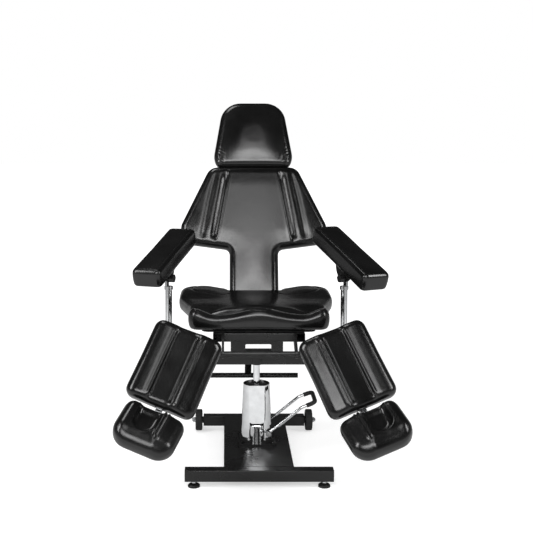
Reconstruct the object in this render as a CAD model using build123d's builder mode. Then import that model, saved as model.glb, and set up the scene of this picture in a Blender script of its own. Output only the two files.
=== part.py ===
from build123d import *
import os
from math import cos, degrees, radians, sin, sqrt

os.makedirs("parts", exist_ok=True)

# Tattoo chair on a hydraulic pump. Lengths are in millimetres and angles in degrees.
# +X is to the right of someone facing the chair, +Y runs to its back, and the floor is at zero.

# Driving dimensions shared by several pieces
column_y = 17
overrun = 6
running_gap = 0.05
soft_gap = 0.3

# Base bars, feet and wheels
tube_side = 40
tube_wall = 2
tube_corner = 3
bar_bottom = 22
foot_spacing = 444
foot_end_margin = 28
front_bar_length = foot_spacing + 2 * foot_end_margin
front_bar_reach = 283
rear_bar_length = 400
rear_bar_reach = 297
cap_thickness = 3
cap_plug = 12
foot_radius = 21
foot_height = 8
stud_radius = 5
stud_length = 44
lock_nut_width = 17
lock_nut_height = 8
wheel_width = 27
wheel_outside = 235
tyre_thickness = 11
tyre_shoulder = 5
hub_web = 9
hub_boss_radius = 13
axle_radius = 5
axle_nut_width = 17
axle_nut_height = 9
axle_nut_dome = 5
axle_dome_taper = 30

# Deck plate between the bars
deck_width = 240
deck_sheet = 3
deck_flange = 34

# Pump
flange_side = 140
flange_corner = 14
flange_plate = 8
flange_step = 12
step_side = 119
step_corner = 30
bolt_spacing = 120
bolt_radius = 4
bolt_head_width = 13
bolt_head_height = 6
bolt_below = 6
cylinder_radius = 27
cylinder_height = 186
cover_height = 197
boss_radius = 25
boss_reach = 43
boss_height = 53
cover_foot_radius = 57.5
cover_head_radius = 48.5
cover_flat_half = 28
cover_wall = 2
mouth_width = 52
mouth_height = 62
lip_radius = 52
lip_sag = 7
notch_width = 60
notch_height = 46
shaft_hole_gap = 3
seal_radius = 45
seal_flat = 36.5
seal_thickness = 5
rod_radius = 12
rod_foot_rise = 23
rod_top_engagement = 31

# Pedal and plunger
pedal_pivot_x = 42
pedal_pivot_rise = 27
pedal_shaft_radius = 6
pedal_shaft_length = 146
pedal_ear_thickness = 8
pedal_ear_spacing = 48
pedal_ear_wall = 6
crank_width = 12
crank_drop = 15
crank_nose_radius = 5
plunger_radius = 5
plunger_length = 16.4
plunger_bore_depth = 14.5
pedal_rod_radius = 5.4
pedal_leg_spacing = 132
pedal_eye_radius = 10
pedal_eye_width = 12
pedal_knee_x = 162
pedal_knee_rise = 98
pedal_tip_x = 212
pedal_tip_rise = 117
pedal_knee_radius = 45
pedal_tip_radius = 20
grip_radius = 7.8
grip_leg_length = 34

# Carrier: cross tube, swivel socket and bracket box
cross_bottom = 351
cross_height = 30
cross_depth = 72
cross_setback = 24
cross_wall = 2.5
cross_overhang = 24
arm_post_spacing = 650
arm_post_setback = 38
socket_radius = 21
socket_height = 37
bracket_width = 190
bracket_depth = 130
bracket_sheet = 6
window_offset = 5
window_width = 94
window_height = 34
window_rise = 19
window_corner = 5

# Seat frame
frame_tube = 30
frame_wall = 2
frame_corner = 3
frame_width = 314
frame_front = 240
frame_rear = 232
frame_top = 520
frame_mid_spacing = 100
board_thickness = 10

# Hinges of the back and of the legs
back_pin_radius = 6
back_pin_drop = 35
back_ear_thickness = 8
back_ear_spacing = 152
back_ear_radius = 14
leg_pin_radius = 8
leg_pin_reach = 302
leg_pin_height = 465
leg_pin_length = 596
leg_ear_radius = 16
leg_ear_thickness = 8

# Release bar
release_x = -28
release_pivot_setback = 74
release_pivot_drop = 15
release_pin_radius = 4
release_hub_radius = 8
release_hub_width = 25
release_ear_thickness = 6
release_strap_thickness = 6
release_bar_radius = 9.5
release_bar_length = 384
release_bar_setback = 140
release_bar_height = 269

# Seat cushion
seat_front = 246
seat_rear = 276
seat_half_width = 284
seat_thickness = 68
seat_foot_share = 0.94
seat_edge_share = 0.93
seat_valley_share = 0.72
seat_inner_share = 0.5
seat_side_share = 0.55
seat_ripple_share = 0.17
seat_notch_width = 204
seat_notch_front = 240
seat_notch_radius = 14
seat_board_margin = 26
seat_board_half_width = 222

# Back, in its own leaning plane
back_foot_setback = 265
back_foot_height = 550
back_lean = 18
back_thickness = 60
back_board_thickness = 12
back_height = 538
back_top_half = 176
back_wing_half = 296
back_wing_rise = 288
back_wing_under = 198
back_stem_half = 95
back_tip_in = 22
back_tip_up = 24
back_corner_radii = (30, 25, 34, 44, 46)
back_crown = 4
back_edge = 26
back_seam_top = 95
back_seam_foot = 153
back_flute_top = 146
back_flute_foot = 226
back_channel_radius = 14
back_channel_depth = 6
back_board_margin = 20
back_frame_margin = 14
back_member_above = 46
back_member_width = 400
back_top_member_width = 220
back_tube = 20
back_tube_spacing = 116
back_barrel_radius = 11
lever_length = 40
lever_swing = 35
back_upright_travel = 8
lever_plate = 4
lever_fork_gap = 12
lever_pin_radius = 4

# Gas spring
spring_cylinder_radius = 10
spring_cylinder_length = 205
spring_rod_radius = 4
spring_eye_radius = 12
spring_eye_width = 10
spring_eye_bore = 8
spring_anchor_setback = 20
spring_anchor_radius = 4
spring_anchor_eye = 10
spring_rod_inside = 80
spring_bore_depth = 140

# Headrest, in the plane of the back
head_foot = 541
head_height = 275
head_thickness = 60
head_board_thickness = 10
head_wide_half = 160
head_wide_rise = 42
head_shoulder_half = 121
head_post_radius = 7.5
head_post_foot = 380
head_hinge_rise = 42
head_barrel_radius = 11
head_barrel_width = 26
head_foot_in = 13
head_corner_radii = (28, 60, 82)
head_crown = 5
head_edge = 24
head_board_margin = 18

# Arm posts, brackets and pads
post_radius = 12.5
post_foot = 346
post_top = 634
post_collar_radius = 18
post_collar_height = 8
post_ring_radius = 16
post_ring_height = 12
arm_pivot_height = 708
cheek_thickness = 8
cheek_width = 22
arm_pin_radius = 5
arm_pin_head_radius = 9
arm_pin_head_height = 5
sector_radius = 58
sector_thickness = 5
sector_slot_radius = 44
sector_slot_gap = 1
arm_travel_down = 15
arm_travel_up = 35
arm_plate_rise = 12
arm_plate_thickness = 3
arm_plate_length = 190
arm_plate_width = 60
knob_stud_radius = 4
knob_radius = 16
knob_length = 20
knob_lobes = 6
arm_length = 384
arm_front_share = 0.54
arm_width = 106
arm_thickness = 64
arm_corner = 17
arm_crown = 3
arm_edge = 12
arm_splay = {"left": 18, "right": 24}
arm_slope = {"left": 17, "right": 21}

# Leg rests, in the plane of each leg
leg_slope = 57
leg_splay = 22.2
leg_top_half_spacing = 229
leg_hinge_down = 54
leg_hinge_below = 92
leg_width = 232
leg_length = 270
leg_cushion_thickness = 64
leg_board_thickness = 10
leg_board_margin = 12
leg_channel_depth = 11
leg_shoulder_drop = 15
leg_foot_share = 0.93
leg_edge_share = 0.96
leg_outer_crest_share = 0.68
leg_outer_seam_share = 0.34
leg_inner_seam_share = 0.24
leg_inner_crest_share = 0.58
leg_pivot_down = 76
leg_pivot_radius = 8
leg_barrel_width = 50
leg_barrel_radius = 14
leg_arm_thickness = 8
leg_arm_radius = 26
sleeve_wall = 2.7
sleeve_top = 106
foot_bar_side = 20
foot_bar_inside = 120
foot_hinge_beyond = 18
foot_hinge_radius = 10
foot_pin_radius = 5
foot_lug_thickness = 5

# Foot pads, each in its own plane
foot_tilt = 27
foot_gap = 8
foot_inset = 9
foot_width = 196
foot_length = 148
foot_cushion_thickness = 67
foot_plate_thickness = 6
foot_recess_share = 0.36
foot_recess_depth = 22
foot_recess_length = 96
foot_recess_taper = 18
foot_near_corner = 24
foot_far_corner = 52
foot_crown = 3
foot_edge = 20
foot_plate_margin = 26

# Rounding of a padded shape: levels through its thickness, and how far each outline is drawn in
pad_level_shares = (-1, -0.9, -0.5, -0.14, 0)
pad_inset_shares = (0.34, 0.08, 0, 0.12, 0.5, 1)

# Places worked out from the dimensions above
bar_middle = bar_bottom + tube_side / 2
bar_top = bar_bottom + tube_side
front_bar_y = column_y - front_bar_reach
rear_bar_y = column_y + rear_bar_reach
wheel_radius = bar_middle
flange_top = bar_top + flange_plate + flange_step
cover_top = flange_top + cover_height
pedal_pivot_z = flange_top + pedal_pivot_rise
cross_y = column_y + cross_setback
cross_top = cross_bottom + cross_height
post_y = column_y + arm_post_setback
frame_bottom = frame_top - frame_tube
seat_bottom = frame_top + board_thickness
leg_pin_y = column_y - leg_pin_reach
sides = {"left": -1, "right": 1}

back_plane = Plane(
    origin=(0, column_y + back_foot_setback, back_foot_height),
    x_dir=(1, 0, 0),
    z_dir=(0, -cos(radians(back_lean)), sin(radians(back_lean))),
)
back_tube_level = back_thickness + back_board_thickness + back_tube / 2
back_pin = back_plane.from_local_coords((0, -back_pin_drop, -back_tube_level))


def pad_layers(plane, outline, thickness, crown, edge):
    """Outlines for a pad whose face lies on the plane: drawn-in foot, full sides, crowned face."""
    faces = []
    levels = [thickness * share for share in pad_level_shares] + [crown]
    for level, share in zip(levels, pad_inset_shares):
        inset = edge * share
        with BuildSketch(plane.offset(level)) as layer:
            add(outline)
            if inset:
                offset(amount=-inset)
        faces.append(layer.sketch)
    return faces


def rounded_shape(points, radii):
    """Flat outline through the points, with each corner rounded by its own radius."""
    with BuildSketch() as shape:
        with BuildLine():
            FilletPolyline(*points, radius=radii, close=True)
        make_face()
    return shape.sketch


# Front cross bar: square tube with a hole for each levelling foot
with BuildPart() as base_front_tube:
    with BuildSketch(Plane.YZ.offset(-front_bar_length / 2)):
        with Locations((front_bar_y, bar_middle)):
            RectangleRounded(tube_side, tube_side, tube_corner)
            Rectangle(tube_side - 2 * tube_wall, tube_side - 2 * tube_wall, mode=Mode.SUBTRACT)
    extrude(amount=front_bar_length)
    with BuildSketch(Plane.XY.offset(bar_bottom - overrun)):
        with Locations((-foot_spacing / 2, front_bar_y), (foot_spacing / 2, front_bar_y)):
            Circle(stud_radius + running_gap)
    extrude(amount=overrun + tube_side / 2, mode=Mode.SUBTRACT)
base_front_tube.part.label = "base_front_tube"
export_step(base_front_tube.part, "parts/base_front_tube.step")

# Rear cross bar: a shorter length of the same tube, between the wheels
with BuildPart() as base_rear_tube:
    with BuildSketch(Plane.YZ.offset(-rear_bar_length / 2)):
        with Locations((rear_bar_y, bar_middle)):
            RectangleRounded(tube_side, tube_side, tube_corner)
            Rectangle(tube_side - 2 * tube_wall, tube_side - 2 * tube_wall, mode=Mode.SUBTRACT)
    extrude(amount=rear_bar_length)
base_rear_tube.part.label = "base_rear_tube"
export_step(base_rear_tube.part, "parts/base_rear_tube.step")

# End caps: plastic plugs pressed into the ends of both bars, and bored for the axle at the rear
with BuildPart() as end_caps:
    for bar_y, bar_length in ((front_bar_y, front_bar_length), (rear_bar_y, rear_bar_length)):
        for side in sides.values():
            with BuildSketch(Plane.YZ.offset(side * bar_length / 2)):
                with Locations((bar_y, bar_middle)):
                    RectangleRounded(tube_side, tube_side, tube_corner)
            extrude(amount=side * cap_thickness)
            with BuildSketch(Plane.YZ.offset(side * bar_length / 2)):
                with Locations((bar_y, bar_middle)):
                    Rectangle(tube_side - 2 * tube_wall, tube_side - 2 * tube_wall)
            extrude(amount=-side * cap_plug)
    with BuildSketch(Plane.YZ.offset(-rear_bar_length)):
        with Locations((rear_bar_y, bar_middle)):
            Circle(axle_radius)
    extrude(amount=2 * rear_bar_length, mode=Mode.SUBTRACT)
end_caps.part.label = "end_caps"
export_step(end_caps.part, "parts/end_caps.step")

# Deck plate: sheet folded down at both sides, welded between the bars and drilled for the pump bolts
deck_front = front_bar_y + tube_side / 2
deck_rear = rear_bar_y - tube_side / 2
with BuildPart() as base_deck_plate:
    with BuildSketch(Plane.XZ.offset(-deck_front)):
        with Locations((0, bar_top - deck_flange / 2)):
            Rectangle(deck_width, deck_flange)
        with Locations((0, bar_top - deck_sheet - deck_flange / 2)):
            Rectangle(deck_width - 2 * deck_sheet, deck_flange, mode=Mode.SUBTRACT)
    extrude(amount=-(deck_rear - deck_front))
    with BuildSketch(Plane((0, column_y, bar_top + overrun))):
        with GridLocations(bolt_spacing, bolt_spacing, 2, 2):
            Circle(bolt_radius)
    extrude(amount=-(2 * overrun + deck_sheet), mode=Mode.SUBTRACT)
base_deck_plate.part.label = "base_deck_plate"
export_step(base_deck_plate.part, "parts/base_deck_plate.step")

# Levelling feet: a round foot on a threaded stud at each end of the front bar
for name, side in sides.items():
    with BuildPart() as levelling_foot:
        with BuildSketch(Plane((side * foot_spacing / 2, front_bar_y, 0))):
            Circle(foot_radius)
        extrude(amount=foot_height)
        chamfer(levelling_foot.edges().filter_by(GeomType.CIRCLE).sort_by(Axis.Z)[-1], foot_height / 3)
        with BuildSketch(Plane((side * foot_spacing / 2, front_bar_y, foot_height))):
            Circle(stud_radius)
        extrude(amount=stud_length)
    levelling_foot.part.label = f"levelling_foot_{name}"
    export_step(levelling_foot.part, f"parts/levelling_foot_{name}.step")

# Lock nuts of the levelling feet, tight against the bar
with BuildPart() as foot_lock_nuts:
    with BuildSketch(Plane((0, front_bar_y, bar_bottom))):
        with Locations((-foot_spacing / 2, 0), (foot_spacing / 2, 0)):
            RegularPolygon(lock_nut_width / 2, 6, major_radius=False)
            Circle(stud_radius + running_gap, mode=Mode.SUBTRACT)
    extrude(amount=-lock_nut_height)
foot_lock_nuts.part.label = "foot_lock_nuts"
export_step(foot_lock_nuts.part, "parts/foot_lock_nuts.step")

# Axle: one rod through the rear bar, from nut to nut
axle_half = wheel_outside + soft_gap + axle_nut_height
with BuildPart() as wheel_axle:
    with BuildSketch(Plane.YZ.offset(-axle_half)):
        with Locations((rear_bar_y, bar_middle)):
            Circle(axle_radius)
    extrude(amount=2 * axle_half)
wheel_axle.part.label = "wheel_axle"
export_step(wheel_axle.part, "parts/wheel_axle.step")

# Dome nuts on the ends of the axle
with BuildPart() as axle_nuts:
    for side in sides.values():
        with BuildSketch(Plane.YZ.offset(side * (wheel_outside + soft_gap))):
            with Locations((rear_bar_y, bar_middle)):
                RegularPolygon(axle_nut_width / 2, 6, major_radius=False)
                Circle(axle_radius, mode=Mode.SUBTRACT)
        extrude(amount=side * axle_nut_height)
        with BuildSketch(Plane.YZ.offset(side * axle_half)):
            with Locations((rear_bar_y, bar_middle)):
                Circle(axle_nut_width / 2)
        extrude(amount=side * axle_nut_dome, taper=axle_dome_taper)
axle_nuts.part.label = "axle_nuts"
export_step(axle_nuts.part, "parts/axle_nuts.step")

# Wheels: a rubber tyre on a moulded hub that runs on the axle
tyre_inner = wheel_radius - tyre_thickness
wheel_inside = wheel_outside - wheel_width
boss_inside = rear_bar_length / 2 + cap_thickness + soft_gap
for name, side in sides.items():
    with BuildPart() as tyre:
        with BuildSketch(Plane.YZ.offset(side * wheel_inside)):
            with Locations((rear_bar_y, bar_middle)):
                Circle(wheel_radius)
        extrude(amount=side * wheel_width)
        rims = tyre.edges().filter_by(GeomType.CIRCLE)
        fillet(rims, tyre_shoulder)
        with BuildSketch(Plane.YZ.offset(side * (wheel_inside - overrun))):
            with Locations((rear_bar_y, bar_middle)):
                Circle(tyre_inner)
        extrude(amount=side * (wheel_width + 2 * overrun), mode=Mode.SUBTRACT)
    tyre.part.label = f"wheel_tyre_{name}"
    export_step(tyre.part, f"parts/wheel_tyre_{name}.step")

    with BuildPart() as hub:
        with BuildSketch(Plane.YZ.offset(side * (wheel_inside + (wheel_width - hub_web) / 2))):
            with Locations((rear_bar_y, bar_middle)):
                Circle(tyre_inner)
        extrude(amount=side * hub_web)
        with BuildSketch(Plane.YZ.offset(side * boss_inside)):
            with Locations((rear_bar_y, bar_middle)):
                Circle(hub_boss_radius)
        extrude(amount=side * (wheel_outside - boss_inside))
        with BuildSketch(Plane.YZ.offset(side * (boss_inside - overrun))):
            with Locations((rear_bar_y, bar_middle)):
                Circle(axle_radius + running_gap)
        extrude(amount=side * (wheel_outside - boss_inside + 2 * overrun), mode=Mode.SUBTRACT)
    hub.part.label = f"wheel_hub_{name}"
    export_step(hub.part, f"parts/wheel_hub_{name}.step")

# Pump flange: cast plate bolted through the deck, with two ears for the pedal shaft
with BuildPart() as pump_flange:
    with BuildSketch(Plane((0, column_y, bar_top))):
        RectangleRounded(flange_side, flange_side, flange_corner)
    extrude(amount=flange_plate)
    with BuildSketch(Plane((0, column_y, bar_top + flange_plate))):
        RectangleRounded(step_side, step_side, step_corner)
    extrude(amount=flange_step)
    with BuildSketch(Plane((0, column_y - boss_reach, bar_top + flange_plate))):
        Circle(boss_radius + running_gap)
    extrude(amount=flange_step, mode=Mode.SUBTRACT)
    with BuildSketch(Plane((0, column_y, bar_top - overrun))):
        with GridLocations(bolt_spacing, bolt_spacing, 2, 2):
            Circle(bolt_radius)
    extrude(amount=flange_plate + 2 * overrun, mode=Mode.SUBTRACT)
    for side in sides.values():
        ear_face = column_y + side * (pedal_ear_spacing - pedal_ear_thickness) / 2
        with BuildSketch(Plane((0, ear_face, 0), x_dir=(1, 0, 0), z_dir=(0, -1, 0))):
            with Locations((pedal_pivot_x, pedal_pivot_z)):
                Circle(pedal_shaft_radius + pedal_ear_wall)
            with Locations((pedal_pivot_x, flange_top + pedal_pivot_rise / 2)):
                Rectangle(2 * (pedal_shaft_radius + pedal_ear_wall), pedal_pivot_rise)
            with Locations((pedal_pivot_x, pedal_pivot_z)):
                Circle(pedal_shaft_radius + running_gap, mode=Mode.SUBTRACT)
        extrude(amount=-side * pedal_ear_thickness)
pump_flange.part.label = "pump_flange"
export_step(pump_flange.part, "parts/pump_flange.step")

# Pump bolts: four hexagon bolts at the corners of the flange
with BuildPart() as pump_bolts:
    with BuildSketch(Plane((0, column_y, bar_top + flange_plate))):
        with GridLocations(bolt_spacing, bolt_spacing, 2, 2):
            RegularPolygon(bolt_head_width / 2, 6, major_radius=False)
    extrude(amount=bolt_head_height)
    with BuildSketch(Plane((0, column_y, bar_top + flange_plate))):
        with GridLocations(bolt_spacing, bolt_spacing, 2, 2):
            Circle(bolt_radius)
    extrude(amount=-(flange_plate + deck_sheet + bolt_below))
pump_bolts.part.label = "pump_bolts"
export_step(pump_bolts.part, "parts/pump_bolts.step")

# Pump cylinder: cast tube closed at its foot, with a round boss in front and a side bore for the plunger
plunger_z = pedal_pivot_z - crank_drop
with BuildPart() as pump_cylinder:
    with BuildSketch(Plane((0, column_y, flange_top))):
        Circle(cylinder_radius)
    extrude(amount=cylinder_height)
    with BuildSketch(Plane((0, column_y - boss_reach, bar_top + flange_plate))):
        Circle(boss_radius)
    extrude(amount=flange_step + boss_height)
    with BuildSketch(Plane((0, column_y, flange_top + cylinder_height))):
        Circle(rod_radius + running_gap)
    extrude(amount=-(cylinder_height - flange_step / 4), mode=Mode.SUBTRACT)
    with BuildSketch(Plane.YZ.offset(cylinder_radius + overrun)):
        with Locations((column_y, plunger_z)):
            Circle(plunger_radius + running_gap)
    extrude(amount=-(plunger_bore_depth + overrun), mode=Mode.SUBTRACT)
pump_cylinder.part.label = "pump_cylinder"
export_step(pump_cylinder.part, "parts/pump_cylinder.step")

# Pump cover: pressed and chromed shell, round with a flat front, open for the boss and the pedal
flat_foot_y = column_y - sqrt(cover_foot_radius**2 - cover_flat_half**2)
flat_head_y = column_y - sqrt(cover_head_radius**2 - cover_flat_half**2)
cover_blanks = []
for wall in (0, cover_wall):
    with BuildPart() as cover_blank:
        with Locations((0, column_y, flange_top)):
            Cone(
                cover_foot_radius - wall,
                cover_head_radius - wall,
                cover_height,
                align=(Align.CENTER, Align.CENTER, Align.MIN),
            )
        with BuildSketch(Plane.YZ.offset(-cover_foot_radius)):
            with BuildLine():
                Polyline(
                    (flat_foot_y + wall, flange_top),
                    (flat_head_y + wall, cover_top),
                    (flat_foot_y - cover_foot_radius, cover_top),
                    (flat_foot_y - cover_foot_radius, flange_top),
                    close=True,
                )
            make_face()
        extrude(amount=2 * cover_foot_radius, mode=Mode.SUBTRACT)
    cover_blanks.append(cover_blank.part)

with BuildPart() as pump_cover:
    add(cover_blanks[0])
    add(cover_blanks[1], mode=Mode.SUBTRACT)
    with BuildSketch(Plane((0, column_y, flange_top), x_dir=(1, 0, 0), z_dir=(0, -1, 0))):
        with Locations((0, (mouth_height - overrun) / 2)):
            Rectangle(mouth_width, mouth_height + overrun)
        with Locations((0, mouth_height - lip_sag + lip_radius)):
            Circle(lip_radius, mode=Mode.SUBTRACT)
    extrude(amount=cover_foot_radius, mode=Mode.SUBTRACT)
    with BuildSketch(Plane((0, column_y, flange_top), x_dir=(0, 1, 0), z_dir=(1, 0, 0))):
        with Locations((0, notch_height / 2 - overrun / 2)):
            RectangleRounded(notch_width, notch_height + overrun, overrun / 2)
    extrude(amount=cover_foot_radius + overrun, mode=Mode.SUBTRACT)
    with BuildSketch(Plane((0, column_y + cover_foot_radius, 0), x_dir=(1, 0, 0), z_dir=(0, -1, 0))):
        with Locations((pedal_pivot_x, pedal_pivot_z)):
            Circle(pedal_shaft_radius + shaft_hole_gap)
    extrude(amount=2 * cover_foot_radius, mode=Mode.SUBTRACT)
pump_cover.part.label = "pump_cover"
export_step(pump_cover.part, "parts/pump_cover.step")

# Seal plate: dark ring that closes the top of the cover around the rod
with BuildPart() as pump_top_seal:
    with BuildSketch(Plane((0, column_y, flange_top + cylinder_height))):
        Circle(seal_radius)
        with Locations((0, -seal_flat)):
            Rectangle(2 * seal_radius, seal_radius, align=(Align.CENTER, Align.MAX), mode=Mode.SUBTRACT)
        Circle(rod_radius + running_gap, mode=Mode.SUBTRACT)
    extrude(amount=seal_thickness)
pump_top_seal.part.label = "pump_top_seal"
export_step(pump_top_seal.part, "parts/pump_top_seal.step")

# Piston rod: rises out of the cylinder and carries the swivel socket on its end
rod_foot = flange_top + rod_foot_rise
rod_head = cross_bottom + rod_top_engagement
with BuildPart() as piston_rod:
    with BuildSketch(Plane((0, column_y, rod_foot))):
        Circle(rod_radius)
    extrude(amount=rod_head - rod_foot)
piston_rod.part.label = "piston_rod"
export_step(piston_rod.part, "parts/piston_rod.step")

# Pump plunger: pushed into the cylinder by the pedal's crank
crank_face = pedal_pivot_x - crank_nose_radius
with BuildPart() as pump_plunger:
    with BuildSketch(Plane.YZ.offset(crank_face - soft_gap)):
        with Locations((column_y, plunger_z)):
            Circle(plunger_radius)
    extrude(amount=-plunger_length)
pump_plunger.part.label = "pump_plunger"
export_step(pump_plunger.part, "parts/pump_plunger.step")

# Pedal shaft: turns in the flange's ears, with the crank that works the plunger
with BuildPart() as pedal_shaft:
    with BuildSketch(Plane((0, column_y + pedal_shaft_length / 2, 0), x_dir=(1, 0, 0), z_dir=(0, -1, 0))):
        with Locations((pedal_pivot_x, pedal_pivot_z)):
            Circle(pedal_shaft_radius)
    extrude(amount=pedal_shaft_length)
    with BuildSketch(Plane((0, column_y + crank_width / 2, 0), x_dir=(1, 0, 0), z_dir=(0, -1, 0))):
        with Locations((pedal_pivot_x, pedal_pivot_z)):
            Circle(pedal_shaft_radius + pedal_ear_wall / 2)
        with Locations((pedal_pivot_x, plunger_z)):
            Circle(crank_nose_radius)
        with Locations((pedal_pivot_x, (plunger_z + pedal_pivot_z) / 2)):
            Rectangle(2 * crank_nose_radius, crank_drop)
    extrude(amount=crank_width)
pedal_shaft.part.label = "pedal_shaft"
export_step(pedal_shaft.part, "parts/pedal_shaft.step")

# Pedal loop: one rod bent to a loop, with an eye on the shaft at each end
pedal_path_points = [
    (pedal_pivot_x, column_y - pedal_leg_spacing / 2, pedal_pivot_z),
    (pedal_knee_x, column_y - pedal_leg_spacing / 2, pedal_pivot_z + pedal_knee_rise),
    (pedal_tip_x, column_y - pedal_leg_spacing / 2, pedal_pivot_z + pedal_tip_rise),
    (pedal_tip_x, column_y + pedal_leg_spacing / 2, pedal_pivot_z + pedal_tip_rise),
    (pedal_knee_x, column_y + pedal_leg_spacing / 2, pedal_pivot_z + pedal_knee_rise),
    (pedal_pivot_x, column_y + pedal_leg_spacing / 2, pedal_pivot_z),
]
with BuildPart() as pedal_loop:
    with BuildLine() as pedal_path:
        FilletPolyline(
            *pedal_path_points,
            radius=[pedal_knee_radius, pedal_tip_radius, pedal_tip_radius, pedal_knee_radius],
        )
    with BuildSketch(Plane(pedal_path.wires()[0] @ 0, z_dir=pedal_path.wires()[0] % 0)):
        Circle(pedal_rod_radius)
    sweep(path=pedal_path.wires()[0])
    for side in sides.values():
        eye_face = column_y + side * (pedal_leg_spacing - pedal_eye_width) / 2
        with BuildSketch(Plane((0, eye_face, 0), x_dir=(1, 0, 0), z_dir=(0, -1, 0))):
            with Locations((pedal_pivot_x, pedal_pivot_z)):
                Circle(pedal_eye_radius)
        extrude(amount=-side * pedal_eye_width)
    with BuildSketch(Plane((0, column_y + pedal_leg_spacing, 0), x_dir=(1, 0, 0), z_dir=(0, -1, 0))):
        with Locations((pedal_pivot_x, pedal_pivot_z)):
            Circle(pedal_shaft_radius)
    extrude(amount=2 * pedal_leg_spacing, mode=Mode.SUBTRACT)
pedal_loop.part.label = "pedal_loop"
export_step(pedal_loop.part, "parts/pedal_loop.step")

# Pedal grip: rubber sleeve over the end of the loop
pedal_tip_run = Vector(pedal_tip_x - pedal_knee_x, 0, pedal_tip_rise - pedal_knee_rise).normalized()
grip_start = Vector(*pedal_path_points[2]) - pedal_tip_run * grip_leg_length
grip_end = Vector(*pedal_path_points[3]) - pedal_tip_run * grip_leg_length
with BuildPart() as pedal_grip:
    with BuildLine() as grip_path:
        FilletPolyline(
            grip_start, pedal_path_points[2], pedal_path_points[3], grip_end, radius=pedal_tip_radius
        )
    with BuildSketch(Plane(grip_start, z_dir=pedal_tip_run)):
        Circle(grip_radius)
        Circle(pedal_rod_radius, mode=Mode.SUBTRACT)
    sweep(path=grip_path.wires()[0])
pedal_grip.part.label = "pedal_grip"
export_step(pedal_grip.part, "parts/pedal_grip.step")

# Swivel socket: closed sleeve welded into the cross tube, turning on the rod
with BuildPart() as swivel_socket:
    with BuildSketch(Plane((0, column_y, cross_bottom))):
        Circle(socket_radius)
    extrude(amount=socket_height)
    with BuildSketch(Plane((0, column_y, cross_bottom))):
        Circle(rod_radius + running_gap)
    extrude(amount=rod_top_engagement, mode=Mode.SUBTRACT)
swivel_socket.part.label = "swivel_socket"
export_step(swivel_socket.part, "parts/swivel_socket.step")

# Cross tube: flat box section that carries the arm posts in its ends and the release bar behind
cross_length = arm_post_spacing + 2 * cross_overhang
release_pivot_y = column_y + release_pivot_setback
release_pivot_z = cross_top - release_pivot_drop
cross_rear = cross_y + cross_depth / 2
with BuildPart() as cross_tube:
    with BuildSketch(Plane((0, cross_y, cross_bottom))):
        RectangleRounded(cross_length, cross_depth, cross_overhang / 2)
    extrude(amount=cross_height)
    with BuildSketch(Plane((0, cross_y, cross_bottom + cross_wall))):
        RectangleRounded(
            cross_length - 2 * cross_wall, cross_depth - 2 * cross_wall, cross_overhang / 2 - cross_wall
        )
    extrude(amount=cross_height - 2 * cross_wall, mode=Mode.SUBTRACT)
    with BuildSketch(Plane((0, 0, cross_bottom - overrun))):
        with Locations((-arm_post_spacing / 2, post_y), (arm_post_spacing / 2, post_y)):
            Circle(post_radius + running_gap)
        with Locations((0, column_y)):
            Circle(socket_radius)
    extrude(amount=cross_height + 2 * overrun, mode=Mode.SUBTRACT)
    for side in sides.values():
        ear_face = release_x + side * (release_hub_width / 2 + soft_gap)
        with BuildSketch(Plane.YZ.offset(ear_face)):
            with Locations((release_pivot_y, release_pivot_z)):
                Circle(release_hub_radius)
            with Locations(((release_pivot_y + cross_rear) / 2, release_pivot_z)):
                Rectangle(release_pivot_y - cross_rear, 2 * release_hub_radius)
        extrude(amount=side * release_ear_thickness)
    with BuildSketch(Plane.YZ.offset(release_x - release_hub_width / 2 - release_ear_thickness)):
        with Locations((release_pivot_y, release_pivot_z)):
            Circle(release_pin_radius)
    extrude(amount=release_hub_width + 2 * release_ear_thickness)
cross_tube.part.label = "cross_tube"
export_step(cross_tube.part, "parts/cross_tube.step")

# Release bar: strap down to a cross rod behind the column, turning on the cross tube's ears
release_bar_y = column_y + release_bar_setback
with BuildPart() as release_bar:
    with BuildSketch(Plane.YZ.offset(release_x - release_hub_width / 2)):
        with Locations((release_pivot_y, release_pivot_z)):
            Circle(release_hub_radius)
        with BuildLine():
            Line((release_pivot_y, release_pivot_z), (release_bar_y, release_bar_height))
        trace(line_width=release_strap_thickness)
        with Locations((release_pivot_y, release_pivot_z)):
            Circle(release_pin_radius + running_gap, mode=Mode.SUBTRACT)
    extrude(amount=release_hub_width)
    with BuildSketch(Plane.YZ.offset(release_x - release_bar_length / 2)):
        with Locations((release_bar_y, release_bar_height)):
            Circle(release_bar_radius)
    extrude(amount=release_bar_length)
release_bar.part.label = "release_bar"
export_step(release_bar.part, "parts/release_bar.step")

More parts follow.
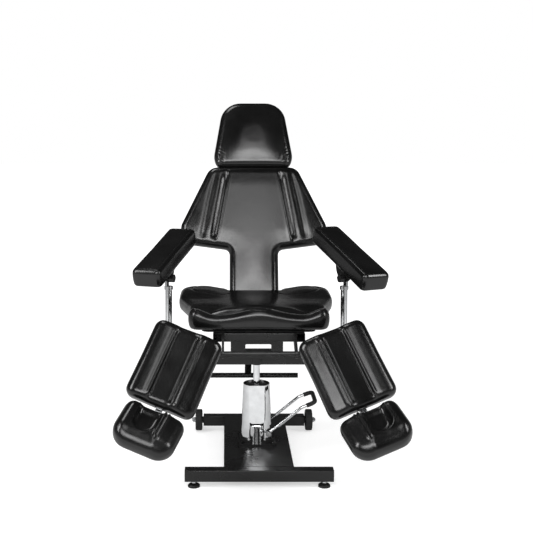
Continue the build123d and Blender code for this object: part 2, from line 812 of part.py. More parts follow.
# Bracket box: sheet folded to a box between cross tube and seat frame, open behind, with the spring's rod
spring_anchor_y = column_y + spring_anchor_setback
spring_z = back_pin.Z - lever_length * (1 + cos(radians(lever_swing))) / 2
with BuildPart() as seat_bracket:
    with BuildSketch(Plane.XZ.offset(-(cross_y - bracket_depth / 2))):
        with Locations((0, (cross_top + frame_bottom) / 2)):
            Rectangle(bracket_width, frame_bottom - cross_top)
        with Locations((0, (cross_top + frame_bottom) / 2 + bracket_sheet)):
            Rectangle(bracket_width - 2 * bracket_sheet, frame_bottom - cross_top, mode=Mode.SUBTRACT)
    extrude(amount=-bracket_depth)
    with BuildSketch(Plane.XZ.offset(-(cross_y - bracket_depth / 2))):
        with Locations((0, (cross_top + frame_bottom) / 2)):
            Rectangle(bracket_width, frame_bottom - cross_top)
        with Locations((window_offset, cross_top + window_rise + window_height / 2)):
            RectangleRounded(window_width, window_height, window_corner, mode=Mode.SUBTRACT)
    extrude(amount=-bracket_sheet)
    with BuildSketch(Plane((0, column_y, cross_top - overrun))):
        Circle(socket_radius)
    extrude(amount=2 * overrun + bracket_sheet, mode=Mode.SUBTRACT)
    with BuildSketch(Plane.YZ.offset(-bracket_width / 2)):
        with Locations((spring_anchor_y, spring_z)):
            Circle(spring_anchor_radius)
    extrude(amount=bracket_width)
seat_bracket.part.label = "seat_bracket"
export_step(seat_bracket.part, "parts/seat_bracket.step")

# Seat frame: two rails and four cross members, with ears for the back's pin and the legs' rod
rail_x = (frame_width - frame_tube) / 2
frame_front_y = column_y - frame_front
frame_rear_y = column_y + frame_rear
member_ys = (
    frame_front_y + frame_tube / 2,
    cross_y - frame_mid_spacing / 2,
    cross_y + frame_mid_spacing / 2,
    frame_rear_y - frame_tube / 2,
)
with BuildPart() as seat_frame:
    for side in sides.values():
        with BuildSketch(Plane.XZ.offset(-frame_front_y)):
            with Locations((side * rail_x, frame_top - frame_tube / 2)):
                RectangleRounded(frame_tube, frame_tube, frame_corner)
        extrude(amount=-(frame_rear_y - frame_front_y))
    for member_y in member_ys:
        with BuildSketch(Plane.YZ.offset(-rail_x)):
            with Locations((member_y, frame_top - frame_tube / 2)):
                RectangleRounded(frame_tube, frame_tube, frame_corner)
        extrude(amount=2 * rail_x)
    for side in sides.values():
        with BuildSketch(Plane.XZ.offset(-(frame_front_y - overrun))):
            with Locations((side * rail_x, frame_top - frame_tube / 2)):
                Rectangle(frame_tube - 2 * frame_wall, frame_tube - 2 * frame_wall)
        extrude(amount=-(frame_rear_y - frame_front_y + 2 * overrun), mode=Mode.SUBTRACT)
    for side in sides.values():
        with BuildSketch(Plane.YZ.offset(side * back_ear_spacing / 2)):
            with Locations((back_pin.Y, back_pin.Z)):
                Circle(back_ear_radius)
            with Locations((frame_rear_y - frame_tube / 2, frame_top - frame_tube / 2)):
                Rectangle(frame_tube, frame_tube)
            make_hull()
            with Locations((back_pin.Y, back_pin.Z)):
                Circle(back_pin_radius, mode=Mode.SUBTRACT)
        extrude(amount=-side * back_ear_thickness)
        with BuildSketch(Plane.YZ.offset(side * (frame_width / 2 - frame_tube))):
            with Locations((leg_pin_y, leg_pin_height)):
                Circle(leg_ear_radius)
            with Locations((frame_front_y + frame_tube / 2, frame_top - frame_tube / 2)):
                Rectangle(frame_tube, frame_tube)
            make_hull()
            with Locations((leg_pin_y, leg_pin_height)):
                Circle(leg_pin_radius, mode=Mode.SUBTRACT)
        extrude(amount=-side * leg_ear_thickness)
seat_frame.part.label = "seat_frame"
export_step(seat_frame.part, "parts/seat_frame.step")

# Pins: the back turns on one, and both leg rests turn on the long rod at the front
with BuildPart() as back_hinge_pin:
    with BuildSketch(Plane.YZ.offset(-back_ear_spacing / 2)):
        with Locations((back_pin.Y, back_pin.Z)):
            Circle(back_pin_radius)
    extrude(amount=back_ear_spacing)
back_hinge_pin.part.label = "back_hinge_pin"
export_step(back_hinge_pin.part, "parts/back_hinge_pin.step")

with BuildPart() as leg_hinge_rod:
    with BuildSketch(Plane.YZ.offset(-leg_pin_length / 2)):
        with Locations((leg_pin_y, leg_pin_height)):
            Circle(leg_pin_radius)
    extrude(amount=leg_pin_length)
leg_hinge_rod.part.label = "leg_hinge_rod"
export_step(leg_hinge_rod.part, "parts/leg_hinge_rod.step")

# Seat cushion: lofted from front to back, with a bolster at the front, a pommel and two rear lobes
seat_station_shares = (
    # share of the depth, of the half width, of the thickness at the crown and in the troughs
    (0.0, 0.74, 0.5, 0.48),
    (0.015, 0.79, 0.75, 0.62),
    (0.045, 0.825, 0.94, 0.66),
    (0.08, 0.83, 0.97, 0.66),
    (0.11, 0.83, 0.9, 0.64),
    (0.135, 0.825, 0.72, 0.58),
    (0.17, 0.83, 0.9, 0.8),
    (0.23, 0.845, 0.95, 0.88),
    (0.5, 0.88, 0.9, 0.86),
    (0.7, 0.96, 0.94, 0.86),
    (0.82, 1.0, 0.97, 0.86),
    (0.93, 0.97, 0.9, 0.8),
    (0.98, 0.9, 0.72, 0.64),
    (1.0, 0.82, 0.45, 0.42),
)


def seat_section(depth_share, half_share, crown_share, trough_share):
    """Cross section of the seat: flat foot, drawn-in sides, a ridge at each side and a crown between."""
    y = column_y - seat_front + depth_share * (seat_front + seat_rear)
    half = seat_half_width * half_share
    top = seat_bottom + seat_thickness * crown_share
    dip = seat_bottom + seat_thickness * trough_share
    side_z = seat_bottom + seat_thickness * trough_share * seat_side_share
    foot = half * seat_foot_share
    edge = half * seat_edge_share
    valley = half * seat_valley_share
    inner = half * seat_inner_share
    ripple = dip - (top - dip) * seat_ripple_share
    with BuildSketch(Plane((0, y, 0), x_dir=(1, 0, 0), z_dir=(0, -1, 0))) as section:
        with BuildLine():
            Line((-foot, seat_bottom), (foot, seat_bottom))
            ThreePointArc((foot, seat_bottom), (half, side_z), (edge, dip))
            ThreePointArc((edge, dip), ((edge + valley) / 2, (dip + top) / 2), (valley, dip))
            ThreePointArc((valley, dip), ((valley + inner) / 2, ripple), (inner, dip))
            ThreePointArc((inner, dip), (0, top), (-inner, dip))
            ThreePointArc((-inner, dip), (-(valley + inner) / 2, ripple), (-valley, dip))
            ThreePointArc((-valley, dip), (-(edge + valley) / 2, (dip + top) / 2), (-edge, dip))
            ThreePointArc((-edge, dip), (-half, side_z), (-foot, seat_bottom))
        make_face()
    return section.sketch


with BuildPart() as seat_cushion:
    loft([seat_section(*shares) for shares in seat_station_shares], ruled=True)
    with BuildSketch(Plane((0, column_y, seat_bottom - overrun))):
        with Locations((0, seat_notch_front + seat_rear / 2)):
            RectangleRounded(seat_notch_width, seat_rear, seat_notch_radius)
    extrude(amount=2 * seat_thickness, mode=Mode.SUBTRACT)
seat_cushion.part.label = "seat_cushion"
export_step(seat_cushion.part, "parts/seat_cushion.step")

# Seat board: plywood under the cushion, cut back from its edge and notched for the back
with BuildPart() as seat_board:
    with BuildSketch(Plane((0, column_y, frame_top))):
        with Locations((0, (seat_rear - seat_front) / 2)):
            RectangleRounded(
                2 * (seat_board_half_width - seat_board_margin),
                seat_front + seat_rear - 2 * seat_board_margin,
                seat_board_margin,
            )
        with Locations((0, seat_notch_front + seat_rear / 2)):
            Rectangle(seat_notch_width, seat_rear, mode=Mode.SUBTRACT)
    extrude(amount=board_thickness)
seat_board.part.label = "seat_board"
export_step(seat_board.part, "parts/seat_board.step")

# Back cushion: T shape with a crowned face, drawn-in sides and channels sewn down the wings
back_half_points = [
    (back_stem_half, 0),
    (back_stem_half, back_wing_under),
    (back_wing_half - back_tip_in, back_wing_under + back_tip_up),
    (back_wing_half, back_wing_rise),
    (back_top_half, back_height),
]
back_outline = rounded_shape(
    back_half_points + [(-x, y) for x, y in reversed(back_half_points)],
    list(back_corner_radii) + list(reversed(back_corner_radii)),
)
back_channels = (
    (back_seam_top, back_seam_foot),
    (back_flute_top, back_flute_foot),
)
with BuildPart() as back_cushion:
    loft(pad_layers(back_plane, back_outline, back_thickness, back_crown, back_edge), ruled=True)
    for top_x, foot_x in back_channels:
        for side in sides.values():
            above = back_channel_radius - back_channel_depth + back_crown
            head = back_plane.from_local_coords((side * top_x, back_height + overrun, above))
            tail = back_plane.from_local_coords((side * foot_x, back_wing_under, above))
            with BuildSketch(Plane(head, z_dir=tail - head)):
                Circle(back_channel_radius)
            extrude(amount=(tail - head).length, mode=Mode.SUBTRACT)
back_cushion.part.label = "back_cushion"
export_step(back_cushion.part, "parts/back_cushion.step")

# Back board: plywood behind the cushion, in the same T
with BuildPart() as back_board:
    with BuildSketch(back_plane.offset(-back_thickness)):
        add(back_outline)
        offset(amount=-back_board_margin)
    extrude(amount=-back_board_thickness)
back_board.part.label = "back_board"
export_step(back_board.part, "parts/back_board.step")

# Back frame: two uprights on a barrel around the pin, two cross members, and the lever for the gas spring
back_frame_plane = back_plane.offset(-back_tube_level)
lever_rest = radians(lever_swing - back_upright_travel)
lever_end = (back_pin.Y + lever_length * sin(lever_rest), back_pin.Z - lever_length * cos(lever_rest))
upright_top = back_height - back_frame_margin
with BuildPart() as back_frame:
    with BuildSketch(back_frame_plane.offset(-back_tube / 2)):
        for side in sides.values():
            with Locations((side * back_tube_spacing / 2, (upright_top - back_pin_drop) / 2)):
                Rectangle(back_tube, upright_top + back_pin_drop)
        with Locations((0, back_wing_under + back_member_above)):
            Rectangle(back_member_width, back_tube)
        with Locations((0, upright_top - back_tube)):
            Rectangle(back_top_member_width, back_tube)
    extrude(amount=back_tube)
    with BuildSketch(Plane.YZ.offset(-(back_tube_spacing + back_tube) / 2)):
        with Locations((back_pin.Y, back_pin.Z)):
            Circle(back_barrel_radius)
    extrude(amount=back_tube_spacing + back_tube)
    for side in sides.values():
        with BuildSketch(Plane.YZ.offset(side * lever_fork_gap / 2)):
            with Locations((back_pin.Y, back_pin.Z)):
                Circle(back_barrel_radius)
            with Locations(lever_end):
                Circle(lever_pin_radius + lever_plate)
            make_hull()
        extrude(amount=side * lever_plate)
    with BuildSketch(Plane.YZ.offset(-lever_fork_gap / 2 - lever_plate)):
        with Locations(lever_end):
            Circle(lever_pin_radius)
    extrude(amount=lever_fork_gap + 2 * lever_plate)
    with BuildSketch(Plane.YZ.offset(-back_tube_spacing)):
        with Locations((back_pin.Y, back_pin.Z)):
            Circle(back_pin_radius + running_gap)
    extrude(amount=2 * back_tube_spacing, mode=Mode.SUBTRACT)
    post_channel_plane = Plane(
        back_frame_plane.from_local_coords((0, upright_top + overrun, 0)),
        x_dir=(1, 0, 0),
        z_dir=-back_plane.y_dir,
    )
    with BuildSketch(post_channel_plane):
        with Locations((-back_tube_spacing / 2, 0), (back_tube_spacing / 2, 0)):
            Rectangle(2 * (head_post_radius + soft_gap), 2 * (head_post_radius + soft_gap))
    extrude(amount=upright_top + overrun - head_post_foot + overrun, mode=Mode.SUBTRACT)
back_frame.part.label = "back_frame"
export_step(back_frame.part, "parts/back_frame.step")

# Gas spring: the cylinder's eye turns on the anchor rod, and the rod's eye lies around the lever's pin
with BuildPart() as gas_spring_cylinder:
    with BuildSketch(Plane.YZ.offset(-spring_eye_width / 2)):
        with Locations((spring_anchor_y, spring_z)):
            Circle(spring_anchor_eye)
    extrude(amount=spring_eye_width)
    with BuildSketch(Plane((0, spring_anchor_y, spring_z), x_dir=(1, 0, 0), z_dir=(0, 1, 0))):
        Circle(spring_cylinder_radius)
    extrude(amount=spring_cylinder_length)
    with BuildSketch(Plane.YZ.offset(-spring_cylinder_radius - overrun)):
        with Locations((spring_anchor_y, spring_z)):
            Circle(spring_anchor_radius + running_gap)
    extrude(amount=2 * (spring_cylinder_radius + overrun), mode=Mode.SUBTRACT)
    spring_mouth = spring_anchor_y + spring_cylinder_length
    with BuildSketch(Plane((0, spring_mouth, spring_z), x_dir=(1, 0, 0), z_dir=(0, -1, 0))):
        Circle(spring_rod_radius + running_gap)
    extrude(amount=spring_bore_depth, mode=Mode.SUBTRACT)
gas_spring_cylinder.part.label = "gas_spring_cylinder"
export_step(gas_spring_cylinder.part, "parts/gas_spring_cylinder.step")

with BuildPart() as gas_spring_rod:
    with BuildSketch(Plane.YZ.offset(-spring_eye_width / 2)):
        with Locations((lever_end[0], spring_z)):
            Circle(spring_eye_radius)
    extrude(amount=spring_eye_width)
    spring_rod_start = spring_mouth - spring_rod_inside
    with BuildSketch(Plane((0, spring_rod_start, spring_z), x_dir=(1, 0, 0), z_dir=(0, 1, 0))):
        Circle(spring_rod_radius)
    extrude(amount=lever_end[0] - spring_rod_start - spring_eye_bore)
    with BuildSketch(Plane.YZ.offset(-spring_eye_width)):
        with Locations((lever_end[0], spring_z)):
            Circle(spring_eye_bore)
    extrude(amount=2 * spring_eye_width, mode=Mode.SUBTRACT)
gas_spring_rod.part.label = "gas_spring_rod"
export_step(gas_spring_rod.part, "parts/gas_spring_rod.step")

# Headrest posts: one rod bent to a square arch, sliding in the back frame's uprights
head_hinge_y = head_foot + head_hinge_rise
with BuildPart() as headrest_posts:
    with BuildLine(back_frame_plane) as post_path:
        FilletPolyline(
            (-back_tube_spacing / 2, head_post_foot),
            (-back_tube_spacing / 2, head_hinge_y),
            (back_tube_spacing / 2, head_hinge_y),
            (back_tube_spacing / 2, head_post_foot),
            radius=2 * head_post_radius,
        )
    with BuildSketch(Plane(post_path.wires()[0] @ 0, z_dir=back_plane.y_dir)):
        Circle(head_post_radius)
    sweep(path=post_path.wires()[0])
headrest_posts.part.label = "headrest_posts"
export_step(headrest_posts.part, "parts/headrest_posts.step")

# Headrest cushion and board: a rounded shield, wider at its foot, on two barrels around the arch
head_half_points = [
    (head_wide_half - head_foot_in, head_foot),
    (head_wide_half, head_foot + head_wide_rise),
    (head_shoulder_half, head_foot + head_height),
]
head_outline = rounded_shape(
    head_half_points + [(-x, y) for x, y in reversed(head_half_points)],
    list(head_corner_radii) + list(reversed(head_corner_radii)),
)
with BuildPart() as headrest_cushion:
    loft(pad_layers(back_plane, head_outline, head_thickness, head_crown, head_edge), ruled=True)
headrest_cushion.part.label = "headrest_cushion"
export_step(headrest_cushion.part, "parts/headrest_cushion.step")

with BuildPart() as headrest_board:
    with BuildSketch(back_plane.offset(-head_thickness)):
        add(head_outline)
        offset(amount=-head_board_margin)
    extrude(amount=-head_board_thickness)
    barrel_drop = back_tube_level - head_thickness - head_board_thickness
    for side in sides.values():
        with BuildSketch(Plane.YZ.offset(side * (back_tube_spacing / 4 - head_barrel_width / 2))):
            hinge_point = back_frame_plane.from_local_coords((0, head_hinge_y, 0))
            with Locations((hinge_point.Y, hinge_point.Z)):
                Circle(head_barrel_radius)
            block_point = back_frame_plane.from_local_coords((0, head_hinge_y, barrel_drop / 2))
            with Locations(Location((block_point.Y, block_point.Z, 0), (0, 0, -back_lean))):
                Rectangle(barrel_drop, 2 * head_barrel_radius)
            with Locations((hinge_point.Y, hinge_point.Z)):
                Circle(head_post_radius + running_gap, mode=Mode.SUBTRACT)
        extrude(amount=side * head_barrel_width)
headrest_board.part.label = "headrest_board"
export_step(headrest_board.part, "parts/headrest_board.step")

# Arms: a post in each end of the cross tube, a tilting bracket with a half-round sector, and a pad
arm_outline_y = (0.5 - arm_front_share) * arm_length
slot_end = degrees((knob_stud_radius + sector_slot_gap) / sector_slot_radius)
slot_straight_down = 270
for name, side in sides.items():
    splay = radians(arm_splay[name])
    slope = radians(arm_slope[name])
    ahead = Vector(side * sin(splay), -cos(splay), 0)
    across = Vector(cos(splay), side * sin(splay), 0)
    pivot = Vector(side * arm_post_spacing / 2, post_y, arm_pivot_height)
    arm_plane = Plane(pivot, x_dir=across, z_dir=ahead * sin(slope) + Vector(0, 0, cos(slope)))
    post_plane = Plane((pivot.X, pivot.Y, 0), x_dir=across, z_dir=(0, 0, 1))
    cheek_in = side * (sector_thickness / 2 + soft_gap)
    cheek_out = cheek_in + side * cheek_thickness

    with BuildPart() as arm_post:
        with BuildSketch(post_plane.offset(post_foot)):
            Circle(post_radius)
        extrude(amount=post_top - post_foot)
        with BuildSketch(post_plane.offset(cross_top)):
            Circle(post_collar_radius)
        extrude(amount=post_collar_height)
        with BuildSketch(post_plane.offset(post_top)):
            Circle(post_ring_radius)
        extrude(amount=-post_ring_height)
        with BuildSketch(Plane(pivot + across * cheek_in, x_dir=-ahead, z_dir=across * side)):
            cheek_drop = arm_pivot_height - post_top
            with Locations((0, -side * cheek_drop / 2)):
                Rectangle(cheek_width, cheek_drop)
            Circle(cheek_width / 2)
            with Locations((0, -side * sector_slot_radius)):
                Circle(knob_stud_radius + running_gap, mode=Mode.SUBTRACT)
        extrude(amount=cheek_thickness)
        with BuildSketch(Plane(pivot + across * cheek_out, x_dir=-ahead, z_dir=-across * side)):
            Circle(arm_pin_radius)
        extrude(amount=cheek_thickness + sector_thickness + 2 * soft_gap)
        with BuildSketch(Plane(pivot - across * cheek_in, x_dir=-ahead, z_dir=-across * side)):
            Circle(arm_pin_head_radius)
        extrude(amount=arm_pin_head_height)
    arm_post.part.label = f"arm_post_{name}"
    export_step(arm_post.part, f"parts/arm_post_{name}.step")

    with BuildPart() as arm_bracket:
        with BuildSketch(Plane(pivot - across * sector_thickness / 2, x_dir=arm_plane.y_dir, z_dir=across)):
            Circle(sector_radius)
            with Locations((0, arm_plate_rise + sector_radius)):
                Rectangle(2 * sector_radius, 2 * sector_radius, mode=Mode.SUBTRACT)
            Circle(arm_pin_radius + running_gap, mode=Mode.SUBTRACT)
            with BuildLine():
                slot_start = slot_straight_down - arm_slope[name] - arm_travel_down - slot_end
                slot_sweep = arm_travel_down + arm_travel_up + 2 * slot_end
                CenterArc((0, 0), sector_slot_radius, slot_start, slot_sweep)
            trace(line_width=2 * knob_stud_radius + sector_slot_gap, mode=Mode.SUBTRACT)
        extrude(amount=sector_thickness)
        with BuildSketch(arm_plane.offset(arm_plate_rise)):
            with Locations((0, arm_outline_y)):
                RectangleRounded(arm_plate_width, arm_plate_length, arm_plate_rise)
        extrude(amount=arm_plate_thickness)
    arm_bracket.part.label = f"arm_bracket_{name}"
    export_step(arm_bracket.part, f"parts/arm_bracket_{name}.step")

    with BuildPart() as arm_knob:
        knob_point = pivot - Vector(0, 0, sector_slot_radius)
        stud_tip = knob_point + across * (cheek_out - side * soft_gap)
        with BuildSketch(Plane(stud_tip, x_dir=-ahead, z_dir=-across * side)):
            Circle(knob_stud_radius)
        extrude(amount=cheek_thickness + sector_thickness + soft_gap)
        with BuildSketch(Plane(knob_point - across * cheek_in, x_dir=-ahead, z_dir=-across * side)):
            RegularPolygon(knob_radius, knob_lobes)
            fillet(vertices(), knob_radius / 4)
        extrude(amount=knob_length)
    arm_knob.part.label = f"arm_knob_{name}"
    export_step(arm_knob.part, f"parts/arm_knob_{name}.step")

    with BuildPart() as arm_cushion:
        with BuildSketch() as arm_outline:
            with Locations((0, arm_outline_y)):
                RectangleRounded(arm_width, arm_length, arm_corner)
        face_plane = arm_plane.offset(arm_plate_rise + arm_plate_thickness + arm_thickness)
        loft(pad_layers(face_plane, arm_outline.sketch, arm_thickness, arm_crown, arm_edge), ruled=True)
    arm_cushion.part.label = f"arm_cushion_{name}"
    export_step(arm_cushion.part, f"parts/arm_cushion_{name}.step")

# Leg rests: lifting arm on the hinge rod, board with its sleeve, padded cushion, sliding bar and foot pad
down_slope = Vector(0, -cos(radians(leg_slope)), -sin(radians(leg_slope)))
leg_normal = Vector(0, -sin(radians(leg_slope)), cos(radians(leg_slope)))
board_level = leg_cushion_thickness + leg_board_thickness
sleeve_side = foot_bar_side + 2 * (soft_gap + sleeve_wall)
bar_level = board_level + sleeve_side / 2
leg_station_shares = (
    # share of the length, of the half width and of the height
    (0.0, 0.86, 0.6),
    (0.02, 0.93, 0.8),
    (0.06, 0.98, 0.95),
    (0.14, 1.0, 1.0),
    (0.86, 1.0, 1.0),
    (0.94, 0.98, 0.95),
    (0.98, 0.93, 0.8),
    (1.0, 0.86, 0.6),
)


def leg_section(plane, side, length_share, half_share, height_share):
    """Cross section of a leg cushion: a broad bolster outside, a sunk panel, a narrow bolster inside."""
    half = leg_width / 2 * half_share
    foot = -leg_cushion_thickness
    face = foot + leg_cushion_thickness * height_share
    dip = face - leg_channel_depth * height_share
    shoulder = face - leg_shoulder_drop * height_share
    waist = (foot + shoulder) / 2
    points = {
        "outer_foot": (side * half * leg_foot_share, foot),
        "outer_side": (side * half, waist),
        "outer_top": (side * half * leg_edge_share, shoulder),
        "outer_crest": (side * half * leg_outer_crest_share, face),
        "outer_seam": (side * half * leg_outer_seam_share, dip),
        "inner_seam": (-side * half * leg_inner_seam_share, dip),
        "inner_crest": (-side * half * leg_inner_crest_share, face),
        "inner_top": (-side * half * leg_edge_share, shoulder),
        "inner_side": (-side * half, waist),
        "inner_foot": (-side * half * leg_foot_share, foot),
    }
    origin = plane.from_local_coords((0, -leg_length * length_share, 0))
    with BuildSketch(Plane(origin, x_dir=plane.x_dir, z_dir=-plane.y_dir)) as section:
        with BuildLine():
            Line(points["inner_foot"], points["outer_foot"])
            ThreePointArc(points["outer_foot"], points["outer_side"], points["outer_top"])
            ThreePointArc(points["outer_top"], points["outer_crest"], points["outer_seam"])
            Line(points["outer_seam"], points["inner_seam"])
            ThreePointArc(points["inner_seam"], points["inner_crest"], points["inner_top"])
            ThreePointArc(points["inner_top"], points["inner_side"], points["inner_foot"])
        make_face()
    return section.sketch


for name, side in sides.items():
    splay = radians(leg_splay)
    leg_top = (
        Vector(side * leg_top_half_spacing, leg_pin_y, leg_pin_height)
        - down_slope * leg_hinge_down
        + leg_normal * leg_hinge_below
    )
    leg_x = Vector(cos(splay), 0, 0) - down_slope * side * sin(splay)
    leg_plane = Plane(leg_top, x_dir=leg_x, z_dir=leg_normal)
    pivot_point = leg_plane.from_local_coords((0, -leg_pivot_down, 0))
    lift_plane = Plane(pivot_point, x_dir=(1, 0, 0), z_dir=leg_normal)
    hinge_up = leg_pivot_down * cos(splay) - leg_hinge_down

    with BuildPart() as leg_lift_arm:
        with BuildSketch(lift_plane.offset(-board_level - soft_gap)):
            Circle(leg_arm_radius)
            with Locations((0, hinge_up / 2)):
                Rectangle(leg_barrel_width, hinge_up)
        extrude(amount=-leg_arm_thickness)
        with BuildSketch(lift_plane.offset(-board_level - soft_gap)):
            Circle(leg_pivot_radius)
        extrude(amount=leg_board_thickness - soft_gap)
        with BuildSketch(Plane.YZ.offset(pivot_point.X - leg_barrel_width / 2)):
            with Locations((leg_pin_y, leg_pin_height)):
                Circle(leg_barrel_radius)
        extrude(amount=leg_barrel_width)
        with BuildSketch(Plane.YZ.offset(pivot_point.X - leg_barrel_width)):
            with Locations((leg_pin_y, leg_pin_height)):
                Circle(leg_pin_radius + running_gap)
        extrude(amount=2 * leg_barrel_width, mode=Mode.SUBTRACT)
    leg_lift_arm.part.label = f"leg_lift_arm_{name}"
    export_step(leg_lift_arm.part, f"parts/leg_lift_arm_{name}.step")

    with BuildPart() as leg_board:
        with BuildSketch(leg_plane.offset(-leg_cushion_thickness)):
            with Locations((0, -leg_length / 2)):
                RectangleRounded(
                    leg_width - 2 * leg_board_margin, leg_length - 2 * leg_board_margin, leg_board_margin
                )
            with Locations((0, -leg_pivot_down)):
                Circle(leg_pivot_radius + running_gap, mode=Mode.SUBTRACT)
        extrude(amount=-leg_board_thickness)
        sleeve_origin = leg_plane.from_local_coords((0, -sleeve_top, -bar_level))
        with BuildSketch(Plane(sleeve_origin, x_dir=leg_plane.x_dir, z_dir=-leg_plane.y_dir)):
            Rectangle(sleeve_side, sleeve_side)
            Rectangle(sleeve_side - 2 * sleeve_wall, sleeve_side - 2 * sleeve_wall, mode=Mode.SUBTRACT)
        extrude(amount=leg_length - leg_board_margin - sleeve_top)
    leg_board.part.label = f"leg_board_{name}"
    export_step(leg_board.part, f"parts/leg_board_{name}.step")

    with BuildPart() as leg_cushion:
        loft([leg_section(leg_plane, side, *shares) for shares in leg_station_shares], ruled=True)
    leg_cushion.part.label = f"leg_cushion_{name}"
    export_step(leg_cushion.part, f"parts/leg_cushion_{name}.step")

    foot_hinge = leg_plane.from_local_coords((0, -leg_length - foot_hinge_beyond, -bar_level))
    with BuildPart() as foot_slide_bar:
        bar_origin = leg_plane.from_local_coords((0, -foot_bar_inside, -bar_level))
        with BuildSketch(Plane(bar_origin, x_dir=leg_plane.x_dir, z_dir=-leg_plane.y_dir)):
            Rectangle(foot_bar_side, foot_bar_side)
        extrude(amount=leg_length + foot_hinge_beyond - foot_bar_inside)
        eye_start = foot_hinge - leg_plane.x_dir * foot_bar_side / 2
        with BuildSketch(Plane(eye_start, x_dir=leg_plane.y_dir, z_dir=leg_plane.x_dir)):
            Circle(foot_hinge_radius)
        extrude(amount=foot_bar_side)
        with BuildSketch(Plane(eye_start, x_dir=leg_plane.y_dir, z_dir=leg_plane.x_dir)):
            Circle(foot_pin_radius + running_gap)
        extrude(amount=foot_bar_side, mode=Mode.SUBTRACT)
    foot_slide_bar.part.label = f"foot_slide_bar_{name}"
    export_step(foot_slide_bar.part, f"parts/foot_slide_bar_{name}.step")

    tilt = radians(foot_tilt)
    foot_top = leg_plane.from_local_coords((0, -leg_length - foot_gap, 0))
    foot_normal = leg_plane.z_dir * cos(tilt) + leg_plane.y_dir * sin(tilt)
    foot_plane = Plane(foot_top, x_dir=leg_plane.x_dir, z_dir=foot_normal)
    hinge_here = foot_plane.to_local_coords(foot_hinge)
    with BuildPart() as foot_plate:
        with BuildSketch(foot_plane.offset(-foot_cushion_thickness)):
            with Locations((-side * foot_inset, -foot_length / 2)):
                RectangleRounded(
                    foot_width - 2 * foot_plate_margin,
                    foot_length - 2 * foot_plate_margin,
                    foot_plate_margin,
                )
        extrude(amount=-foot_plate_thickness)
        plate_edge = (
            -foot_plate_margin - foot_hinge_radius,
            -foot_cushion_thickness - foot_plate_thickness / 2,
        )
        for ear in sides.values():
            ear_start = foot_plane.from_local_coords((ear * (foot_bar_side / 2 + soft_gap), 0, 0))
            with BuildSketch(Plane(ear_start, x_dir=foot_plane.y_dir, z_dir=foot_plane.x_dir)):
                with Locations((hinge_here.Y, hinge_here.Z)):
                    Circle(foot_hinge_radius)
                with Locations(plate_edge):
                    Rectangle(2 * foot_hinge_radius, foot_plate_thickness)
                make_hull()
            extrude(amount=ear * foot_lug_thickness)
        pin_half = foot_bar_side / 2 + soft_gap + foot_lug_thickness
        with BuildSketch(Plane(foot_hinge - foot_plane.x_dir * pin_half, z_dir=foot_plane.x_dir)):
            Circle(foot_pin_radius)
        extrude(amount=2 * pin_half)
    foot_plate.part.label = f"foot_plate_{name}"
    export_step(foot_plate.part, f"parts/foot_plate_{name}.step")

    foot_outline = rounded_shape(
        [
            (-foot_width / 2 - side * foot_inset, 0),
            (foot_width / 2 - side * foot_inset, 0),
            (foot_width / 2 - side * foot_inset, -foot_length),
            (-foot_width / 2 - side * foot_inset, -foot_length),
        ],
        [foot_near_corner, foot_near_corner, foot_far_corner, foot_far_corner],
    )
    recess_width = foot_width * foot_recess_share
    with BuildPart() as foot_cushion:
        foot_layers = pad_layers(foot_plane, foot_outline, foot_cushion_thickness, foot_crown, foot_edge)
        loft(foot_layers, ruled=True)
        with BuildSketch(foot_plane.offset(foot_crown)):
            with Locations((0, overrun - foot_recess_length / 2)):
                RectangleRounded(recess_width, foot_recess_length + 2 * overrun, recess_width / 3)
        extrude(amount=-foot_crown - foot_recess_depth, taper=foot_recess_taper, mode=Mode.SUBTRACT)
    foot_cushion.part.label = f"foot_cushion_{name}"
    export_step(foot_cushion.part, f"parts/foot_cushion_{name}.step")
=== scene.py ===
import math

import bmesh
import bpy
import numpy as np
from mathutils import Matrix, Vector
from mathutils.bvhtree import BVHTree


